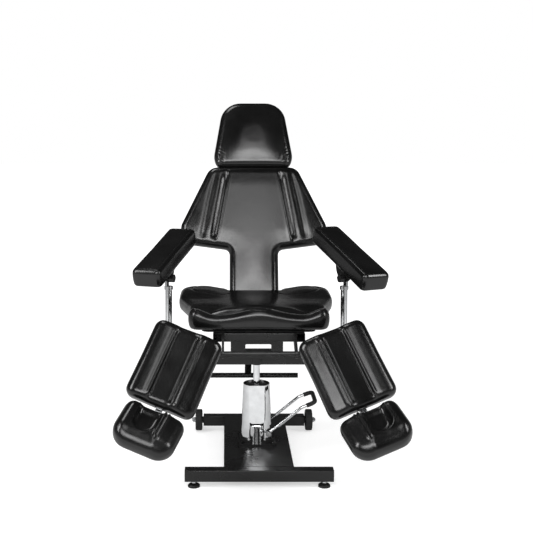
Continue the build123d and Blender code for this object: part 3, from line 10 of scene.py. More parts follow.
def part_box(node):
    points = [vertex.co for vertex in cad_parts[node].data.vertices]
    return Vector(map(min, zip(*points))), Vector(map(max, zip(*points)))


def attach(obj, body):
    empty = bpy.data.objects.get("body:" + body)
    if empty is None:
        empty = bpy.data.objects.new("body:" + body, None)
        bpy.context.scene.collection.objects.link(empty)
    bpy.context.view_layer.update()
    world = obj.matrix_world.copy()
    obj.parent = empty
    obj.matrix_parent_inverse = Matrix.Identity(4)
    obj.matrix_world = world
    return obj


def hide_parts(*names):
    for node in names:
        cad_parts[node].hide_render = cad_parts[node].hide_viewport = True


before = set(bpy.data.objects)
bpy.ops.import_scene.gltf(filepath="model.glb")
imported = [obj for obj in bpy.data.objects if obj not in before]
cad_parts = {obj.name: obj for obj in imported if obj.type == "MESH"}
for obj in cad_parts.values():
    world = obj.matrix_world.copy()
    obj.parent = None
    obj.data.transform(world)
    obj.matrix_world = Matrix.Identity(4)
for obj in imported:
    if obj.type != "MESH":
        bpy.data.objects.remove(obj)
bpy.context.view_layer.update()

# Studio: a pale floor that keeps the chair's soft shadow, a pale room round it, and large soft boxes.
# The camera stands in front of the chair a little above its back, as for a catalogue picture.
class Wire:
    """A socket of a node tree that adds its own Math nodes when it is used in a sum."""

    def __init__(self, finish, socket):
        self.finish, self.socket = finish, socket

    def sum(self, operation, first, second):
        return self.finish.node("ShaderNodeMath", {"operation": operation}, {0: first, 1: second})

    def __add__(self, other):
        return self.sum("ADD", self, other)

    def __radd__(self, other):
        return self.sum("ADD", other, self)

    def __sub__(self, other):
        return self.sum("SUBTRACT", self, other)

    def __rsub__(self, other):
        return self.sum("SUBTRACT", other, self)

    def __mul__(self, other):
        return self.sum("MULTIPLY", self, other)

    def __rmul__(self, other):
        return self.sum("MULTIPLY", other, self)

    def between(self, low, high, start=0.0, end=1.0):
        """Goes smoothly from start to end while the value goes from low to high."""
        return self.finish.node(
            "ShaderNodeMapRange",
            {"interpolation_type": "SMOOTHSTEP"},
            {"Value": self, "From Min": low, "From Max": high, "To Min": start, "To Max": end},
        )


class Finish:
    """The node tree of a finish or of a row. Every node is added by node(): type, settings, sockets."""

    def __init__(self, owner):
        self.owner = owner
        if hasattr(owner, "use_nodes"):
            owner.use_nodes = True
        self.tree = getattr(owner, "node_tree", owner)
        self.tree.nodes.clear()

    def node(self, kind, settings=None, sockets=None, output=0):
        made = self.tree.nodes.new(kind)
        for key, value in (settings or {}).items():
            if key == "stops":
                for index, (place, shade) in enumerate(value):
                    if index > 1:
                        made.color_ramp.elements.new(place)
                    made.color_ramp.elements[index].position = place
                    made.color_ramp.elements[index].color = shade
            else:
                setattr(made, key, value)
        for key, value in (sockets or {}).items():
            if isinstance(value, Wire):
                self.tree.links.new(value.socket, made.inputs[key])
            else:
                made.inputs[key].default_value = value
        return Wire(self, made.outputs[output]) if made.outputs else made

    def noise(self, place, scale, detail):
        """Cloudy pattern that follows a place. A higher scale makes finer clouds."""
        return self.node("ShaderNodeTexNoise", sockets={"Vector": place, "Scale": scale, "Detail": detail})

    def shade(self, value, *stops):
        """Colour that follows a value through its stops, each a place and a colour."""
        return self.node("ShaderNodeValToRGB", {"stops": stops}, {"Fac": value})

    def relief(self, height, distance, strength):
        """Fine relief of the surface, this deep in metres."""
        return self.node(
            "ShaderNodeBump", sockets={"Height": height, "Distance": distance, "Strength": strength}
        )

    def surface(self, sockets):
        """Ends a material with its one surface, and gives the material back."""
        body = self.node("ShaderNodeBsdfPrincipled", sockets=sockets)
        self.node("ShaderNodeOutputMaterial", sockets={"Surface": body})
        return self.owner


def grey(level):
    """A colour without hue."""
    return (level, level, level, 1.0)


world = bpy.data.worlds.new("studio_room")
bpy.context.scene.world = world
room = Finish(world)
ray = {name: room.node("ShaderNodeLightPath", output=name) for name in ("Is Camera Ray", "Is Glossy Ray")}
toward = room.node("ShaderNodeTexCoord", output="Generated")
rise = room.node("ShaderNodeSeparateXYZ", sockets={0: toward}, output="Z")
# The camera sees the room white. Glossy pieces see it pale near the floor and dark above, and plain
# pieces get an even low light from it.
strength = ray["Is Camera Ray"] + ray["Is Glossy Ray"] * rise.between(0.02, 0.20, 0.5, 0.03)
plain = 1 - ray["Is Camera Ray"] - ray["Is Glossy Ray"]
backdrop = room.node(
    "ShaderNodeBackground", sockets={"Color": grey(1.0), "Strength": strength + plain * 0.45}
)
room.node("ShaderNodeOutputWorld", sockets={"Surface": backdrop})

floor_mesh = bpy.data.meshes.new("studio_floor")
floor_reach = 30.0
floor_mesh.from_pydata(
    [(-floor_reach, -floor_reach, 0), (floor_reach, -floor_reach, 0), (floor_reach, floor_reach, 0),
     (-floor_reach, floor_reach, 0)], [], [(0, 1, 2, 3)]
)
floor = bpy.data.objects.new("studio_floor", floor_mesh)
bpy.context.scene.collection.objects.link(floor)
lino = Finish(bpy.data.materials.new("pale_floor"))
floor_seen = lino.node("ShaderNodeLightPath", output="Is Camera Ray")
floor_far = lino.node(
    "ShaderNodeVectorMath",
    {"operation": "LENGTH"},
    {0: lino.node("ShaderNodeTexCoord", output="Object")},
    output="Value",
)
floor_speck = lino.node("ShaderNodeTexNoise", sockets={"Scale": 3.0, "Detail": 3.0})
floor_shade = lino.shade(floor_speck, (0.3, grey(0.72)), (0.7, grey(0.75)))
floor_bright = floor_seen * floor_far.between(1.0, 4.5, 0.52, 1.0)
floor_glow = lino.node("ShaderNodeEmission", sockets={"Color": grey(1.0), "Strength": floor_bright})
floor_body = lino.node(
    "ShaderNodeBsdfPrincipled",
    sockets={"Base Color": floor_shade, "Roughness": 0.75, "Specular IOR Level": 0.1},
)
lino.node(
    "ShaderNodeOutputMaterial",
    sockets={"Surface": lino.node("ShaderNodeAddShader", sockets={0: floor_body, 1: floor_glow})},
)
floor_mesh.materials.append(lino.owner)


def soft_box(name, place, aim, width, height, power):
    """A soft box at a place, turned to a point."""
    lamp = bpy.data.lights.new(name, "AREA")
    lamp.shape = "RECTANGLE"
    lamp.size, lamp.size_y = width, height
    lamp.energy = power
    box = bpy.data.objects.new(name, lamp)
    box.location = place
    box.rotation_euler = (Vector(aim) - Vector(place)).to_track_quat("-Z", "Y").to_euler()
    box.visible_camera = False
    bpy.context.scene.collection.objects.link(box)


soft_box("box_front_high", (-0.35, -2.75, 1.82), (0, 0.2, 0.75), width=2.0, height=0.8, power=42)
soft_box("box_front_near", (0.05, -1.55, 1.97), (0.03, 0.35, 0.85), width=0.48, height=0.95, power=5)
soft_box("box_left", (-2.3, -1.35, 1.95), (0, 0, 0.55), width=0.8, height=1.5, power=42)
soft_box("box_right", (2.35, -1.3, 1.95), (0, 0, 0.55), width=0.7, height=1.5, power=36)
soft_box("box_top", (-0.85, 0.4, 3.2), (-0.2, -0.4, 0.3), width=0.9, height=0.8, power=15)

camera_data = bpy.data.cameras.new("camera")
camera_data.lens = 60.19
camera_data.sensor_width = 36.0
camera_data.shift_x = 0.0769
camera_data.shift_y = -0.10
camera = bpy.data.objects.new("camera", camera_data)
camera.location = (-0.1144, -3.2067, 1.2009)
camera.rotation_euler = (math.radians(90 - 5.18), 0, 0)
bpy.context.scene.collection.objects.link(camera)
bpy.context.scene.camera = camera
bpy.context.scene.view_settings.view_transform = "Standard"


# Base bars and deck: square steel tube and a folded sheet, welded and powder coated in gloss black.
# The coat has the faint orange peel of sprayed powder, and is rubbed a little duller in patches.
def paint(name, level, dull, peel):
    """Sprayed black paint: nearly even colour, patches rubbed duller, an orange peel this deep."""
    spray = Finish(bpy.data.materials.new(name))
    place = spray.node("ShaderNodeTexCoord", output="Object")
    patch = spray.noise(place, 9.0, 5.0)
    dust = spray.noise(place, 240.0, 2.0)
    orange = spray.noise(place, 420.0, 1.0)
    shade = spray.shade(patch * 0.7 + dust * 0.3, (0.25, grey(level * 0.8)), (0.75, grey(level * 1.3)))
    skin = spray.relief(orange, peel, 0.6)
    rubbed = patch.between(0.3, 0.7, dull * 0.85, dull * 1.25)
    return spray.surface(
        {"Base Color": shade, "Roughness": rubbed, "Normal": skin, "Specular IOR Level": 0.42}
    )


def dress(material, *names):
    """Gives CAD nodes their finish."""
    for name in names:
        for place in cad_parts[name].material_slots:
            place.material = material


powder_coat = paint("powder_coat", level=0.007, dull=0.28, peel=0.00012)
dress(powder_coat, "base_front_tube", "base_rear_tube", "base_deck_plate")


# End caps, levelling feet and wheel hubs: moulded black plastic with a fine spark-eroded grain.
# The caps are pushed into the tubes, the feet screw into the front bar on zinc-plated studs.
def moulded(name, level, dull):
    """Moulded plastic or rubber with a fine even grain and faint handling marks."""
    mould = Finish(bpy.data.materials.new(name))
    place = mould.node("ShaderNodeTexCoord", output="Object")
    grain = mould.node("ShaderNodeTexVoronoi", sockets={"Vector": place, "Scale": 1400.0})
    marks = mould.noise(place, 26.0, 6.0)
    shade = mould.shade(marks, (0.3, grey(level * 0.8)), (0.7, grey(level * 1.25)))
    skin = mould.relief(grain, 0.0001, 0.5)
    rubbed = marks.between(0.3, 0.7, dull * 0.85, dull * 1.2)
    return mould.surface(
        {"Base Color": shade, "Roughness": rubbed, "Normal": skin, "Specular IOR Level": 0.4}
    )


black_plastic = moulded("black_plastic", level=0.010, dull=0.40)
dress(black_plastic, "end_caps", "levelling_foot_left", "levelling_foot_right", "wheel_hub_left",
      "wheel_hub_right")


# Lock nuts, axle and dome nuts: steel with a bright zinc plating, faintly blue and cloudy.
# The nuts clamp the feet's studs under the bar and hold the wheels on their axle.
def plated(name, tint, dull, brushed):
    """Plated or ground steel: cloudy brightness, fine turning marks along one way."""
    plate = Finish(bpy.data.materials.new(name))
    place = plate.node("ShaderNodeTexCoord", output="Object")
    cloud = plate.noise(place, 45.0, 5.0)
    drawn = plate.node("ShaderNodeMapping", sockets={"Vector": place, "Scale": (900.0, 900.0, 60.0)})
    lines = plate.noise(drawn, 1.0, 3.0)
    shade = plate.shade(cloud, (0.25, (*[part * 0.82 for part in tint], 1)), (0.75, (*tint, 1)))
    skin = plate.relief(lines, 0.00005, brushed)
    rubbed = cloud.between(0.3, 0.7, dull * 0.75, dull * 1.3)
    return plate.surface({"Base Color": shade, "Metallic": 1.0, "Roughness": rubbed, "Normal": skin})


zinc = plated("bright_zinc", tint=(0.66, 0.67, 0.69), dull=0.24, brushed=0.2)
dress(zinc, "foot_lock_nuts", "wheel_axle", "axle_nuts")

# Tyres: solid black rubber pressed over the hubs, dusty where they roll.
# The pedal's grip is the same rubber, a sleeve pushed over the loop's end.
rubber = moulded("black_rubber", level=0.012, dull=0.58)
dress(rubber, "wheel_tyre_left", "wheel_tyre_right", "pedal_grip")

# Pump: a cast and painted flange bolted to the deck, a cylinder under a pressed cover, and the rod that
# carries the chair, all three chromed. The pedal's loop is chromed too, its shaft and the plunger are ground.
mirror_chrome = plated("mirror_chrome", tint=(0.80, 0.81, 0.82), dull=0.085, brushed=0.015)
ground_steel = plated("ground_steel", tint=(0.66, 0.66, 0.67), dull=0.26, brushed=0.5)
cast_paint = paint("cast_paint", level=0.007, dull=0.34, peel=0.0003)
dress(cast_paint, "pump_flange", "pump_bolts")
dress(ground_steel, "pedal_shaft", "pump_plunger")
dress(mirror_chrome, "pump_cover", "pump_cylinder", "piston_rod", "pedal_loop")
dress(black_plastic, "pump_top_seal")

# Carrier: socket, cross tube, bracket box, seat frame and release bar in the same powder coat as the base.
# The back's tube frame hangs on a plated pin, and a painted gas spring with a chromed rod holds it.
dress(powder_coat, "swivel_socket", "cross_tube", "seat_bracket", "seat_frame", "release_bar", "back_frame",
      "gas_spring_cylinder")
dress(zinc, "back_hinge_pin")
dress(mirror_chrome, "gas_spring_rod", "headrest_posts")

# Arm metalwork: chromed posts that stand in the cross tube's ends, painted tilt brackets on top of them,
# and moulded knobs that clamp the tilt.
dress(mirror_chrome, "arm_post_left", "arm_post_right")
dress(powder_coat, "arm_bracket_left", "arm_bracket_right")
dress(black_plastic, "arm_knob_left", "arm_knob_right")

# Leg metalwork: the rod that the legs hang on, their lifting arms and the foot plates, all painted.
# Each foot slides on a plated bar.
dress(powder_coat, "leg_hinge_rod", "leg_lift_arm_left", "leg_lift_arm_right", "foot_plate_left",
      "foot_plate_right")
dress(zinc, "foot_slide_bar_left", "foot_slide_bar_right")

# Boards: plywood wrapped in black dust cloth, stapled on from behind.
# The cloth is a thin non-woven felt with short fibres.
felt = Finish(bpy.data.materials.new("dust_cloth"))
felt_place = felt.node("ShaderNodeTexCoord", output="Object")
felt_fibre = felt.noise(felt_place, 700.0, 4.0)
felt_patch = felt.noise(felt_place, 18.0, 4.0)
felt_shade = felt.shade(felt_fibre * 0.6 + felt_patch * 0.4, (0.3, grey(0.014)), (0.7, grey(0.034)))
felt_skin = felt.relief(felt_fibre, 0.0004, 0.6)
dust_cloth = felt.surface(
    {"Base Color": felt_shade, "Roughness": 0.9, "Normal": felt_skin, "Specular IOR Level": 0.15}
)
dress(dust_cloth, "seat_board", "back_board", "headrest_board", "leg_board_left", "leg_board_right")

# Seat: a moulded foam saddle on the seat board under glossy black vinyl. A bolster is sewn across the front,
# higher at its ends and at the pommel, with a valley behind it, and two lobes stand beside the back's foot.
sheet = Finish(bpy.data.materials.new("black_vinyl"))
sheet_place = sheet.node("ShaderNodeTexCoord", output="Object")
sheet_cells = sheet.node(
    "ShaderNodeTexVoronoi", {"feature": "DISTANCE_TO_EDGE"}, {"Vector": sheet_place, "Scale": 620.0}
)
sheet_pores = sheet.noise(sheet_place, 1100.0, 2.0)
sheet_rub = sheet.noise(sheet_place, 9.0, 3.0)
sheet_swell = sheet.noise(sheet_place, 30.0, 2.0)
sheet_shade = sheet.shade(sheet_rub, (0.3, grey(0.0025)), (0.72, grey(0.0050)))
sheet_skin = sheet.relief(
    sheet_cells.between(0.0, 0.3) * 0.03 + sheet_pores * 0.03 + sheet_swell * 0.6, 0.0009, 0.55
)
sheet_rubbed = sheet_rub.between(0.3, 0.7, 0.18, 0.25)
vinyl = sheet.surface(
    {"Base Color": sheet_shade, "Roughness": sheet_rubbed, "Normal": sheet_skin, "Specular IOR Level": 0.5}
)


def rounded(corners, radii):
    """Closed outline through the corners, each turned on its own radius."""
    arc_steps = 8
    corners = [Vector(corner) for corner in corners]
    outline = []
    for index, corner in enumerate(corners):
        before = (corners[index - 1] - corner).normalized()
        after = (corners[(index + 1) % len(corners)] - corner).normalized()
        half = before.angle(after) / 2
        centre = corner + (before + after).normalized() * radii[index] / math.sin(half)
        start = corner + before * radii[index] / math.tan(half) - centre
        end = corner + after * radii[index] / math.tan(half) - centre
        for part in range(arc_steps + 1):
            outline.append(centre + start.lerp(end, part / arc_steps).normalized() * radii[index])
    return np.array(outline)


def mirrored(half):
    """Both sides of an outline from its right half, listed from the front or foot upwards."""
    return half + [(-x, y) for x, y in reversed(half)]


class Pattern:
    """A pad's flat outline on a fine grid: how far inside it a point lies, and which way is in."""

    pitch = 0.002
    margin = 0.03

    def __init__(self, outline):
        self.outline = outline
        self.low = outline.min(0) - self.margin
        count = np.ceil((outline.max(0) + self.margin - self.low) / self.pitch).astype(int) + 1
        u, v = np.meshgrid(*[self.low[k] + self.pitch * np.arange(count[k]) for k in (0, 1)], indexing="ij")
        nearest = np.full(u.shape, np.inf)
        inside = np.zeros(u.shape, bool)
        for start, end in zip(outline, np.roll(outline, -1, 0)):
            run = end - start
            if run @ run < 1e-12:
                continue
            share = np.clip(((u - start[0]) * run[0] + (v - start[1]) * run[1]) / (run @ run), 0, 1)
            off_u, off_v = u - start[0] - share * run[0], v - start[1] - share * run[1]
            nearest = np.minimum(nearest, np.hypot(off_u, off_v))
            if run[1]:
                crossed = (start[1] > v) != (end[1] > v)
                inside ^= crossed & (u < start[0] + (v - start[1]) * run[0] / run[1])
        self.map = np.where(inside, nearest, -nearest)
        self.slopes = np.gradient(self.map, self.pitch)
        # The same map blurred, for forms that shall not show the outline's corners
        self.soft = np.maximum(self.map, 0)
        for reach in (4, 4, 6, 6, 8, 8):
            for axis in (0, 1):
                beside = np.roll(self.soft, reach, axis) + np.roll(self.soft, -reach, axis)
                self.soft = (self.soft + beside) / 3

    def read(self, table, u, v):
        """Value of a grid at any points, straight between its own."""
        column, row = (u - self.low[0]) / self.pitch, (v - self.low[1]) / self.pitch
        i = np.clip(column.astype(int), 0, table.shape[0] - 2)
        j = np.clip(row.astype(int), 0, table.shape[1] - 2)
        s, t = np.clip(column - i, 0, 1), np.clip(row - j, 0, 1)
        low = table[i, j] * (1 - s) + table[i + 1, j] * s
        high = table[i, j + 1] * (1 - s) + table[i + 1, j + 1] * s
        return low * (1 - t) + high * t

    def depth(self, u, v):
        """How far inside the outline the points lie, below 0 outside it."""
        return self.read(self.map, u, v)

    def inward(self, u, v):
        """Unit direction away from the outline's nearest side."""
        a, b = self.read(self.slopes[0], u, v), self.read(self.slopes[1], u, v)
        size = np.maximum(np.hypot(a, b), 1e-6)
        return a / size, b / size


def points_of(piece):
    """The places of a piece's vertices, one row each."""
    flat = np.empty(len(piece.data.vertices) * 3, np.float32)
    piece.data.vertices.foreach_get("co", flat)
    return flat.reshape(-1, 3).astype(float)


def move_points(piece, points):
    """Puts a piece's vertices in new places, one row each."""
    piece.data.vertices.foreach_set("co", points.astype(np.float32).ravel())
    piece.data.update()


def apply_modifiers(piece):
    """Keeps what the piece's modifiers show as its own plain mesh."""
    shown = piece.evaluated_get(bpy.context.evaluated_depsgraph_get())
    mesh = bpy.data.meshes.new_from_object(shown)
    piece.modifiers.clear()
    old = piece.data
    piece.data = mesh
    bpy.data.meshes.remove(old)


def ease(low, high, value):
    """Goes smoothly from 0 to 1 while the value goes from low to high."""
    share = np.clip((value - low) / (high - low), 0, 1)
    return share * share * (3 - 2 * share)


def bump(value, middle, width):
    """1 where the value is at the middle, falling softly to 0 over about two widths."""
    return np.exp(-(((value - middle) / width) ** 2))


def cut_foam(name, pattern, thickness, voxel, face_roll, foot_roll, belly, height):
    """A foam block inside the pattern, face at level 0 and foot at -thickness, with its edges rolled over.
    height(u, v, depth) raises or lowers the face, and the sides belly out between foot and face."""
    mesh = bpy.data.meshes.new(name)
    piece = bpy.data.objects.new(name, mesh)
    bpy.context.scene.collection.objects.link(piece)
    shape = bmesh.new()
    ring = [shape.verts.new((u, v, 0.0)) for u, v in pattern.outline]
    bmesh.ops.remove_doubles(shape, verts=ring, dist=1e-5)
    face = shape.faces.new([vertex for vertex in ring if vertex.is_valid])
    foot = bmesh.ops.extrude_face_region(shape, geom=[face])["geom"]
    bmesh.ops.translate(
        shape, vec=(0, 0, -thickness), verts=[part for part in foot if isinstance(part, bmesh.types.BMVert)]
    )
    bmesh.ops.recalc_face_normals(shape, faces=shape.faces)
    shape.to_mesh(mesh)
    shape.free()
    remesh = piece.modifiers.new("even_mesh", "REMESH")
    remesh.mode = "VOXEL"
    remesh.voxel_size = voxel
    apply_modifiers(piece)
    u, v, w = points_of(piece).T
    depth = np.maximum(pattern.depth(u, v), 0)
    in_u, in_v = pattern.inward(u, v)
    w = np.clip(w, -thickness, 0)
    inward = np.zeros(len(u))
    for roll, level, sign in ((face_roll, -w, -1), (foot_roll, w + thickness, 1)):
        near = (depth < roll) & (level < roll)
        a, b = roll - depth[near], roll - level[near]
        keep = roll / np.maximum(np.hypot(a, b), roll)
        inward[near] += a * (1 - keep)
        w[near] += sign * b * (1 - keep)
    rise = (w + thickness) / thickness
    beside = 1 - ease(0, max(face_roll, foot_roll), depth)
    inward -= belly * np.sin(np.pi * np.clip(rise, 0, 1)) * beside
    u, v = u + in_u * inward, v + in_v * inward
    w = w + height(u, v, pattern.read(pattern.soft, u, v)) * np.clip(rise, 0, 1)
    move_points(piece, np.stack([u, v, w], 1))
    return piece


def smooth_skin(piece, rounds, factor=0.5):
    """Relaxes the mesh, which takes the voxels' steps off it."""
    relax = piece.modifiers.new("relax", "SMOOTH")
    relax.factor, relax.iterations = factor, rounds
    apply_modifiers(piece)


def sew(piece, pattern, detail):
    """Halves the mesh's squares and works the fine seams, welts and creases into the face."""
    finer = piece.modifiers.new("finer", "SUBSURF")
    finer.levels = finer.render_levels = 1
    apply_modifiers(piece)
    points = points_of(piece)
    u, v = points.T[:2]
    normals = np.empty(len(points) * 3, np.float32)
    piece.data.vertex_normals.foreach_get("vector", normals)
    normals = normals.reshape(-1, 3)
    facing = ease(0.05, 0.6, normals[:, 2])
    points += normals * (detail(u, v, pattern.depth(u, v)) * facing)[:, None]
    move_points(piece, points)
    smooth_skin(piece, rounds=2, factor=0.4)


def cover(piece, place, body, node):
    """Puts the pad in its place on the chair, in vinyl, hangs it on its body and hides the CAD part it
    replaces.
    """
    piece.data.transform(place)
    piece.data.shade_smooth()
    piece.data.materials.clear()
    piece.data.materials.append(vinyl)
    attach(piece, body)
    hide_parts(node)


def plane(origin, across, normal):
    """Matrix of a flat plane: u runs across, v square to it, w along the normal."""
    across, normal = Vector(across).normalized(), Vector(normal).normalized()
    turn = Matrix((across, normal.cross(across), normal)).transposed().to_4x4()
    return Matrix.Translation(origin) @ turn


seat_thickness = 0.068
seat_foot_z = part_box("seat_board")[1].z
seat_pattern = Pattern(rounded(
    mirrored([
        (0.236, -0.229), (0.240, -0.05), (0.284, 0.12), (0.284, 0.293), (0.102, 0.293), (0.102, 0.257)
    ]),
    [0.03, 0.3, 0.1, 0.075, 0.02, 0.013, 0.013, 0.02, 0.075, 0.1, 0.3, 0.03],
))


def seat_height(u, v, depth):
    """The saddle: bolster, valley, pommel, hollows and lobes, measured from the flat face."""
    across = np.abs(u)
    pommel = bump(u, 0, 0.085)
    bolster = -0.019 + 0.024 * pommel + 0.023 * ease(0.150, 0.225, across)
    lobes = 0.012 * ease(0.05, 0.2, v) * ease(0.10, 0.2, across)
    panel = -0.012 + 0.011 * pommel * ease(0.16, -0.12, v) + lobes
    blend = ease(-0.185, -0.135, v)
    valley = 0.020 * bump(v, -0.160 + 0.010 * pommel, 0.017) * (1 - 0.35 * pommel)
    hollow = 0.018 * bump(across, 0.185, 0.045) * bump(v, -0.112, 0.038)
    return bolster * (1 - blend) + panel * blend - valley - hollow


def seat_detail(u, v, depth):
    """Welt along the bolster's upper edge, wrinkles at the pommel, the lobes' seam."""
    front = ease(-0.17, -0.2, v)
    welt = 0.0028 * bump(depth, 0.010, 0.004) * front
    pull = 0.0012 * np.sin(u * 260 + 3 * np.sin(u * 40)) * bump(u, 0, 0.045) * bump(v, -0.205, 0.012)
    lobe = 0.0022 * bump(np.hypot(np.abs(u) - 0.16, v - 0.22), 0.085, 0.004) * ease(0.06, 0.10, v)
    return welt + pull - lobe


seat = cut_foam(
    "seat_pad", seat_pattern, seat_thickness, voxel=0.0056, face_roll=0.018, foot_roll=0.012,
    belly=0.006, height=seat_height,
)
smooth_skin(seat, rounds=3)
sew(seat, seat_pattern, seat_detail)
seat_face = Vector((0, 0, seat_foot_z + seat_thickness))
cover(seat, plane(seat_face, (1, 0, 0), (0, 0, 1)), "carrier", "seat_cushion")


# Back: a T of foam on its own board, with a plain middle panel between two seams that run apart
# downwards, and soft flutes down each wing. Its rolled edge is pulled tight round the board and stapled.
def row_tree(name, shape):
    """Node tree that sets one small shape at every step along a path, each turned a hair off true."""
    row = Finish(bpy.data.node_groups.new(name, "GeometryNodeTree"))
    sockets = {"Path": "Geometry", "Step": "Float", "Size": "Vector", "Sway": "Float", "Finish": "Material"}
    for title, kind in sockets.items():
        row.tree.interface.new_socket(title, in_out="INPUT", socket_type=f"NodeSocket{kind}")
    row.tree.interface.new_socket("Row", in_out="OUTPUT", socket_type="NodeSocketGeometry")
    given = {title: row.node("NodeGroupInput", output=title) for title in sockets}
    curve = row.node("GeometryNodeMeshToCurve", sockets={"Mesh": given["Path"]})
    spaced = row.node(
        "GeometryNodeResampleCurve", {"mode": "LENGTH"}, {"Curve": curve, "Length": given["Step"]}
    )
    ahead = row.node(
        "FunctionNodeAlignRotationToVector", {"axis": "X"}, {"Vector": row.node("GeometryNodeInputTangent")}
    )
    off_true = row.node(
        "FunctionNodeRandomValue",
        {"data_type": "FLOAT"},
        {2: 0 - given["Sway"], 3: given["Sway"], "Seed": 7},
        output=1,
    )
    turned = row.node(
        "FunctionNodeRotateRotation",
        {"rotation_space": "LOCAL"},
        {0: ahead, 1: row.node("ShaderNodeCombineXYZ", sockets={"Z": off_true})},
    )
    placed = row.node(
        "GeometryNodeInstanceOnPoints",
        sockets={
            "Points": spaced, "Instance": row.node(*shape), "Rotation": turned, "Scale": given["Size"],
        },
    )
    whole = row.node("GeometryNodeRealizeInstances", sockets={0: placed})
    dressed = row.node("GeometryNodeSetMaterial", sockets={"Geometry": whole, "Material": given["Finish"]})
    row.node("NodeGroupOutput", sockets={"Row": dressed})
    return row.tree


stitch_row = row_tree(
    "stitch_row", ("GeometryNodeMeshUVSphere", None, {"Segments": 6, "Rings": 4, "Radius": 0.5})
)
staple_row = row_tree("staple_row", ("GeometryNodeMeshCube", None, {"Size": (1.0, 1.0, 1.0)}))
thread = moulded("bonded_thread", level=0.012, dull=0.45)
stitch = {"Step": 0.0042, "Size": (0.0032, 0.0009, 0.0009), "Sway": 0.05, "Finish": thread}
staple = {"Step": 0.026, "Size": (0.0105, 0.0012, 0.0009), "Sway": 0.12, "Finish": zinc}


def lay_row(name, tree, given, paths, place, body):
    """Lays a row of stitches or staples along paths given in a pad's own plane, as one plain piece."""
    mesh = bpy.data.meshes.new(name)
    corners, edges = [], []
    for path in paths:
        start = len(corners)
        corners += [tuple(point) for point in path]
        edges += [(k, k + 1) for k in range(start, len(corners) - 1)]
    mesh.from_pydata(corners, edges, [])
    piece = bpy.data.objects.new(name, mesh)
    bpy.context.scene.collection.objects.link(piece)
    nodes = piece.modifiers.new("row", "NODES")
    nodes.node_group = tree
    for item in tree.interface.items_tree:
        if item.in_out == "INPUT" and item.name in given:
            nodes[item.identifier] = given[item.name]
    apply_modifiers(piece)
    piece.data.transform(place)
    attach(piece, body)


def on_face(piece, points):
    """Points of a pad's plane, put down on its face from above it."""
    tree = BVHTree.FromPolygons(
        [vertex.co for vertex in piece.data.vertices], [face.vertices for face in piece.data.polygons]
    )
    above = 0.1
    landed = [tree.ray_cast(Vector((u, v, above)), Vector((0, 0, -1)))[0] for u, v in points]
    return [spot for spot in landed if spot]


def inside(pattern, depth):
    """The pattern's outline drawn again this far inside it, closed."""
    step = 0.006
    lengths = np.cumsum(np.hypot(*np.diff(pattern.outline, axis=0, prepend=pattern.outline[-1:]).T))
    even = np.arange(0, lengths[-1], step)
    u = np.interp(even, lengths, pattern.outline[:, 0])
    v = np.interp(even, lengths, pattern.outline[:, 1])
    for _ in range(6):
        in_u, in_v = pattern.inward(u, v)
        lack = (depth - pattern.depth(u, v)) * 0.7
        u, v = u + in_u * lack, v + in_v * lack
    return np.append(np.stack([u, v], 1), [[u[0], v[0]]], 0)


def round_board(pattern, depth, level):
    """A closed line on the rear face of a pad's board, this far inside the pad's outline."""
    return [(*point, level) for point in inside(pattern, depth)]


lean = math.radians(18)
back_thickness = 0.060
back_normal = Vector((0, -math.cos(lean), math.sin(lean)))
back_foot = Vector((0, 0.282, 0.550))
back_place = plane(back_foot, (1, 0, 0), back_normal)
back_pattern = Pattern(rounded(
    mirrored([(0.095, 0), (0.095, 0.198), (0.274, 0.222), (0.296, 0.288), (0.176, 0.538)]),
    [0.03, 0.025, 0.034, 0.044, 0.046, 0.046, 0.044, 0.034, 0.025, 0.03],
))

# Each seam starts at the top, this far from the middle, and runs apart by the spread over its length
seam_top, seam_length = 0.528, 0.33
seam_start, seam_spread = 0.095, 0.058


def seam_at(v):
    """How far down the seams a level is, and their distance from the middle there."""
    down = np.clip((seam_top - v) / seam_length, 0, 1.2)
    return down, seam_start + seam_spread * down


def back_height(u, v, depth):
    """A low crown over the whole T."""
    return 0.004 * ease(0.0, 0.09, depth)


def back_detail(u, v, depth):
    """Seam ridges, channels and flutes that fan out down the wings."""
    down, seam = seam_at(v)
    wing = ease(0.205, 0.260, v) * ease(0.004, 0.055, depth)
    beside = np.abs(u) - seam
    ridge = 0.0010 * bump(beside, -0.002, 0.0050)
    channel = 0.0085 * bump(beside, 0.011, np.where(beside < 0.011, 0.0062, 0.0150))
    flute = 0.0032 * bump(beside, 0.060 + 0.004 * down, 0.013)
    return (ridge - channel - flute) * wing


back = cut_foam(
    "back_pad", back_pattern, back_thickness, voxel=0.005, face_roll=0.024, foot_roll=0.014,
    belly=0.003, height=back_height,
)
smooth_skin(back, rounds=2)
sew(back, back_pattern, back_detail)
stitch_offset = 0.006
stitch_levels = np.arange(0.235, 0.515, 0.004)
seam_lines = [
    on_face(back, [(side * (seam_at(v)[1] - stitch_offset), v) for v in stitch_levels]) for side in (-1, 1)
]
lay_row("back_stitches", stitch_row, stitch, seam_lines, back_place, "back")
cover(back, back_place, "back", "back_cushion")
back_board_face = -0.0723
lay_row("back_staples", staple_row, staple, [round_board(back_pattern, 0.024, back_board_face)], back_place,
        "back")

# Headrest: a rounded shield of foam on its own board, in the back's plane and fuller in the middle.
# The vinyl is drawn round it, gathered at the lower corners and stapled behind.
head_thickness = 0.060
head_pattern = Pattern(rounded(
    mirrored([(0.147, 0.541), (0.160, 0.583), (0.121, 0.816)]), [0.028, 0.06, 0.082, 0.082, 0.06, 0.028]
))


def head_height(u, v, depth):
    """A full crown, highest below the middle."""
    return 0.011 * ease(0.0, 0.10, depth)


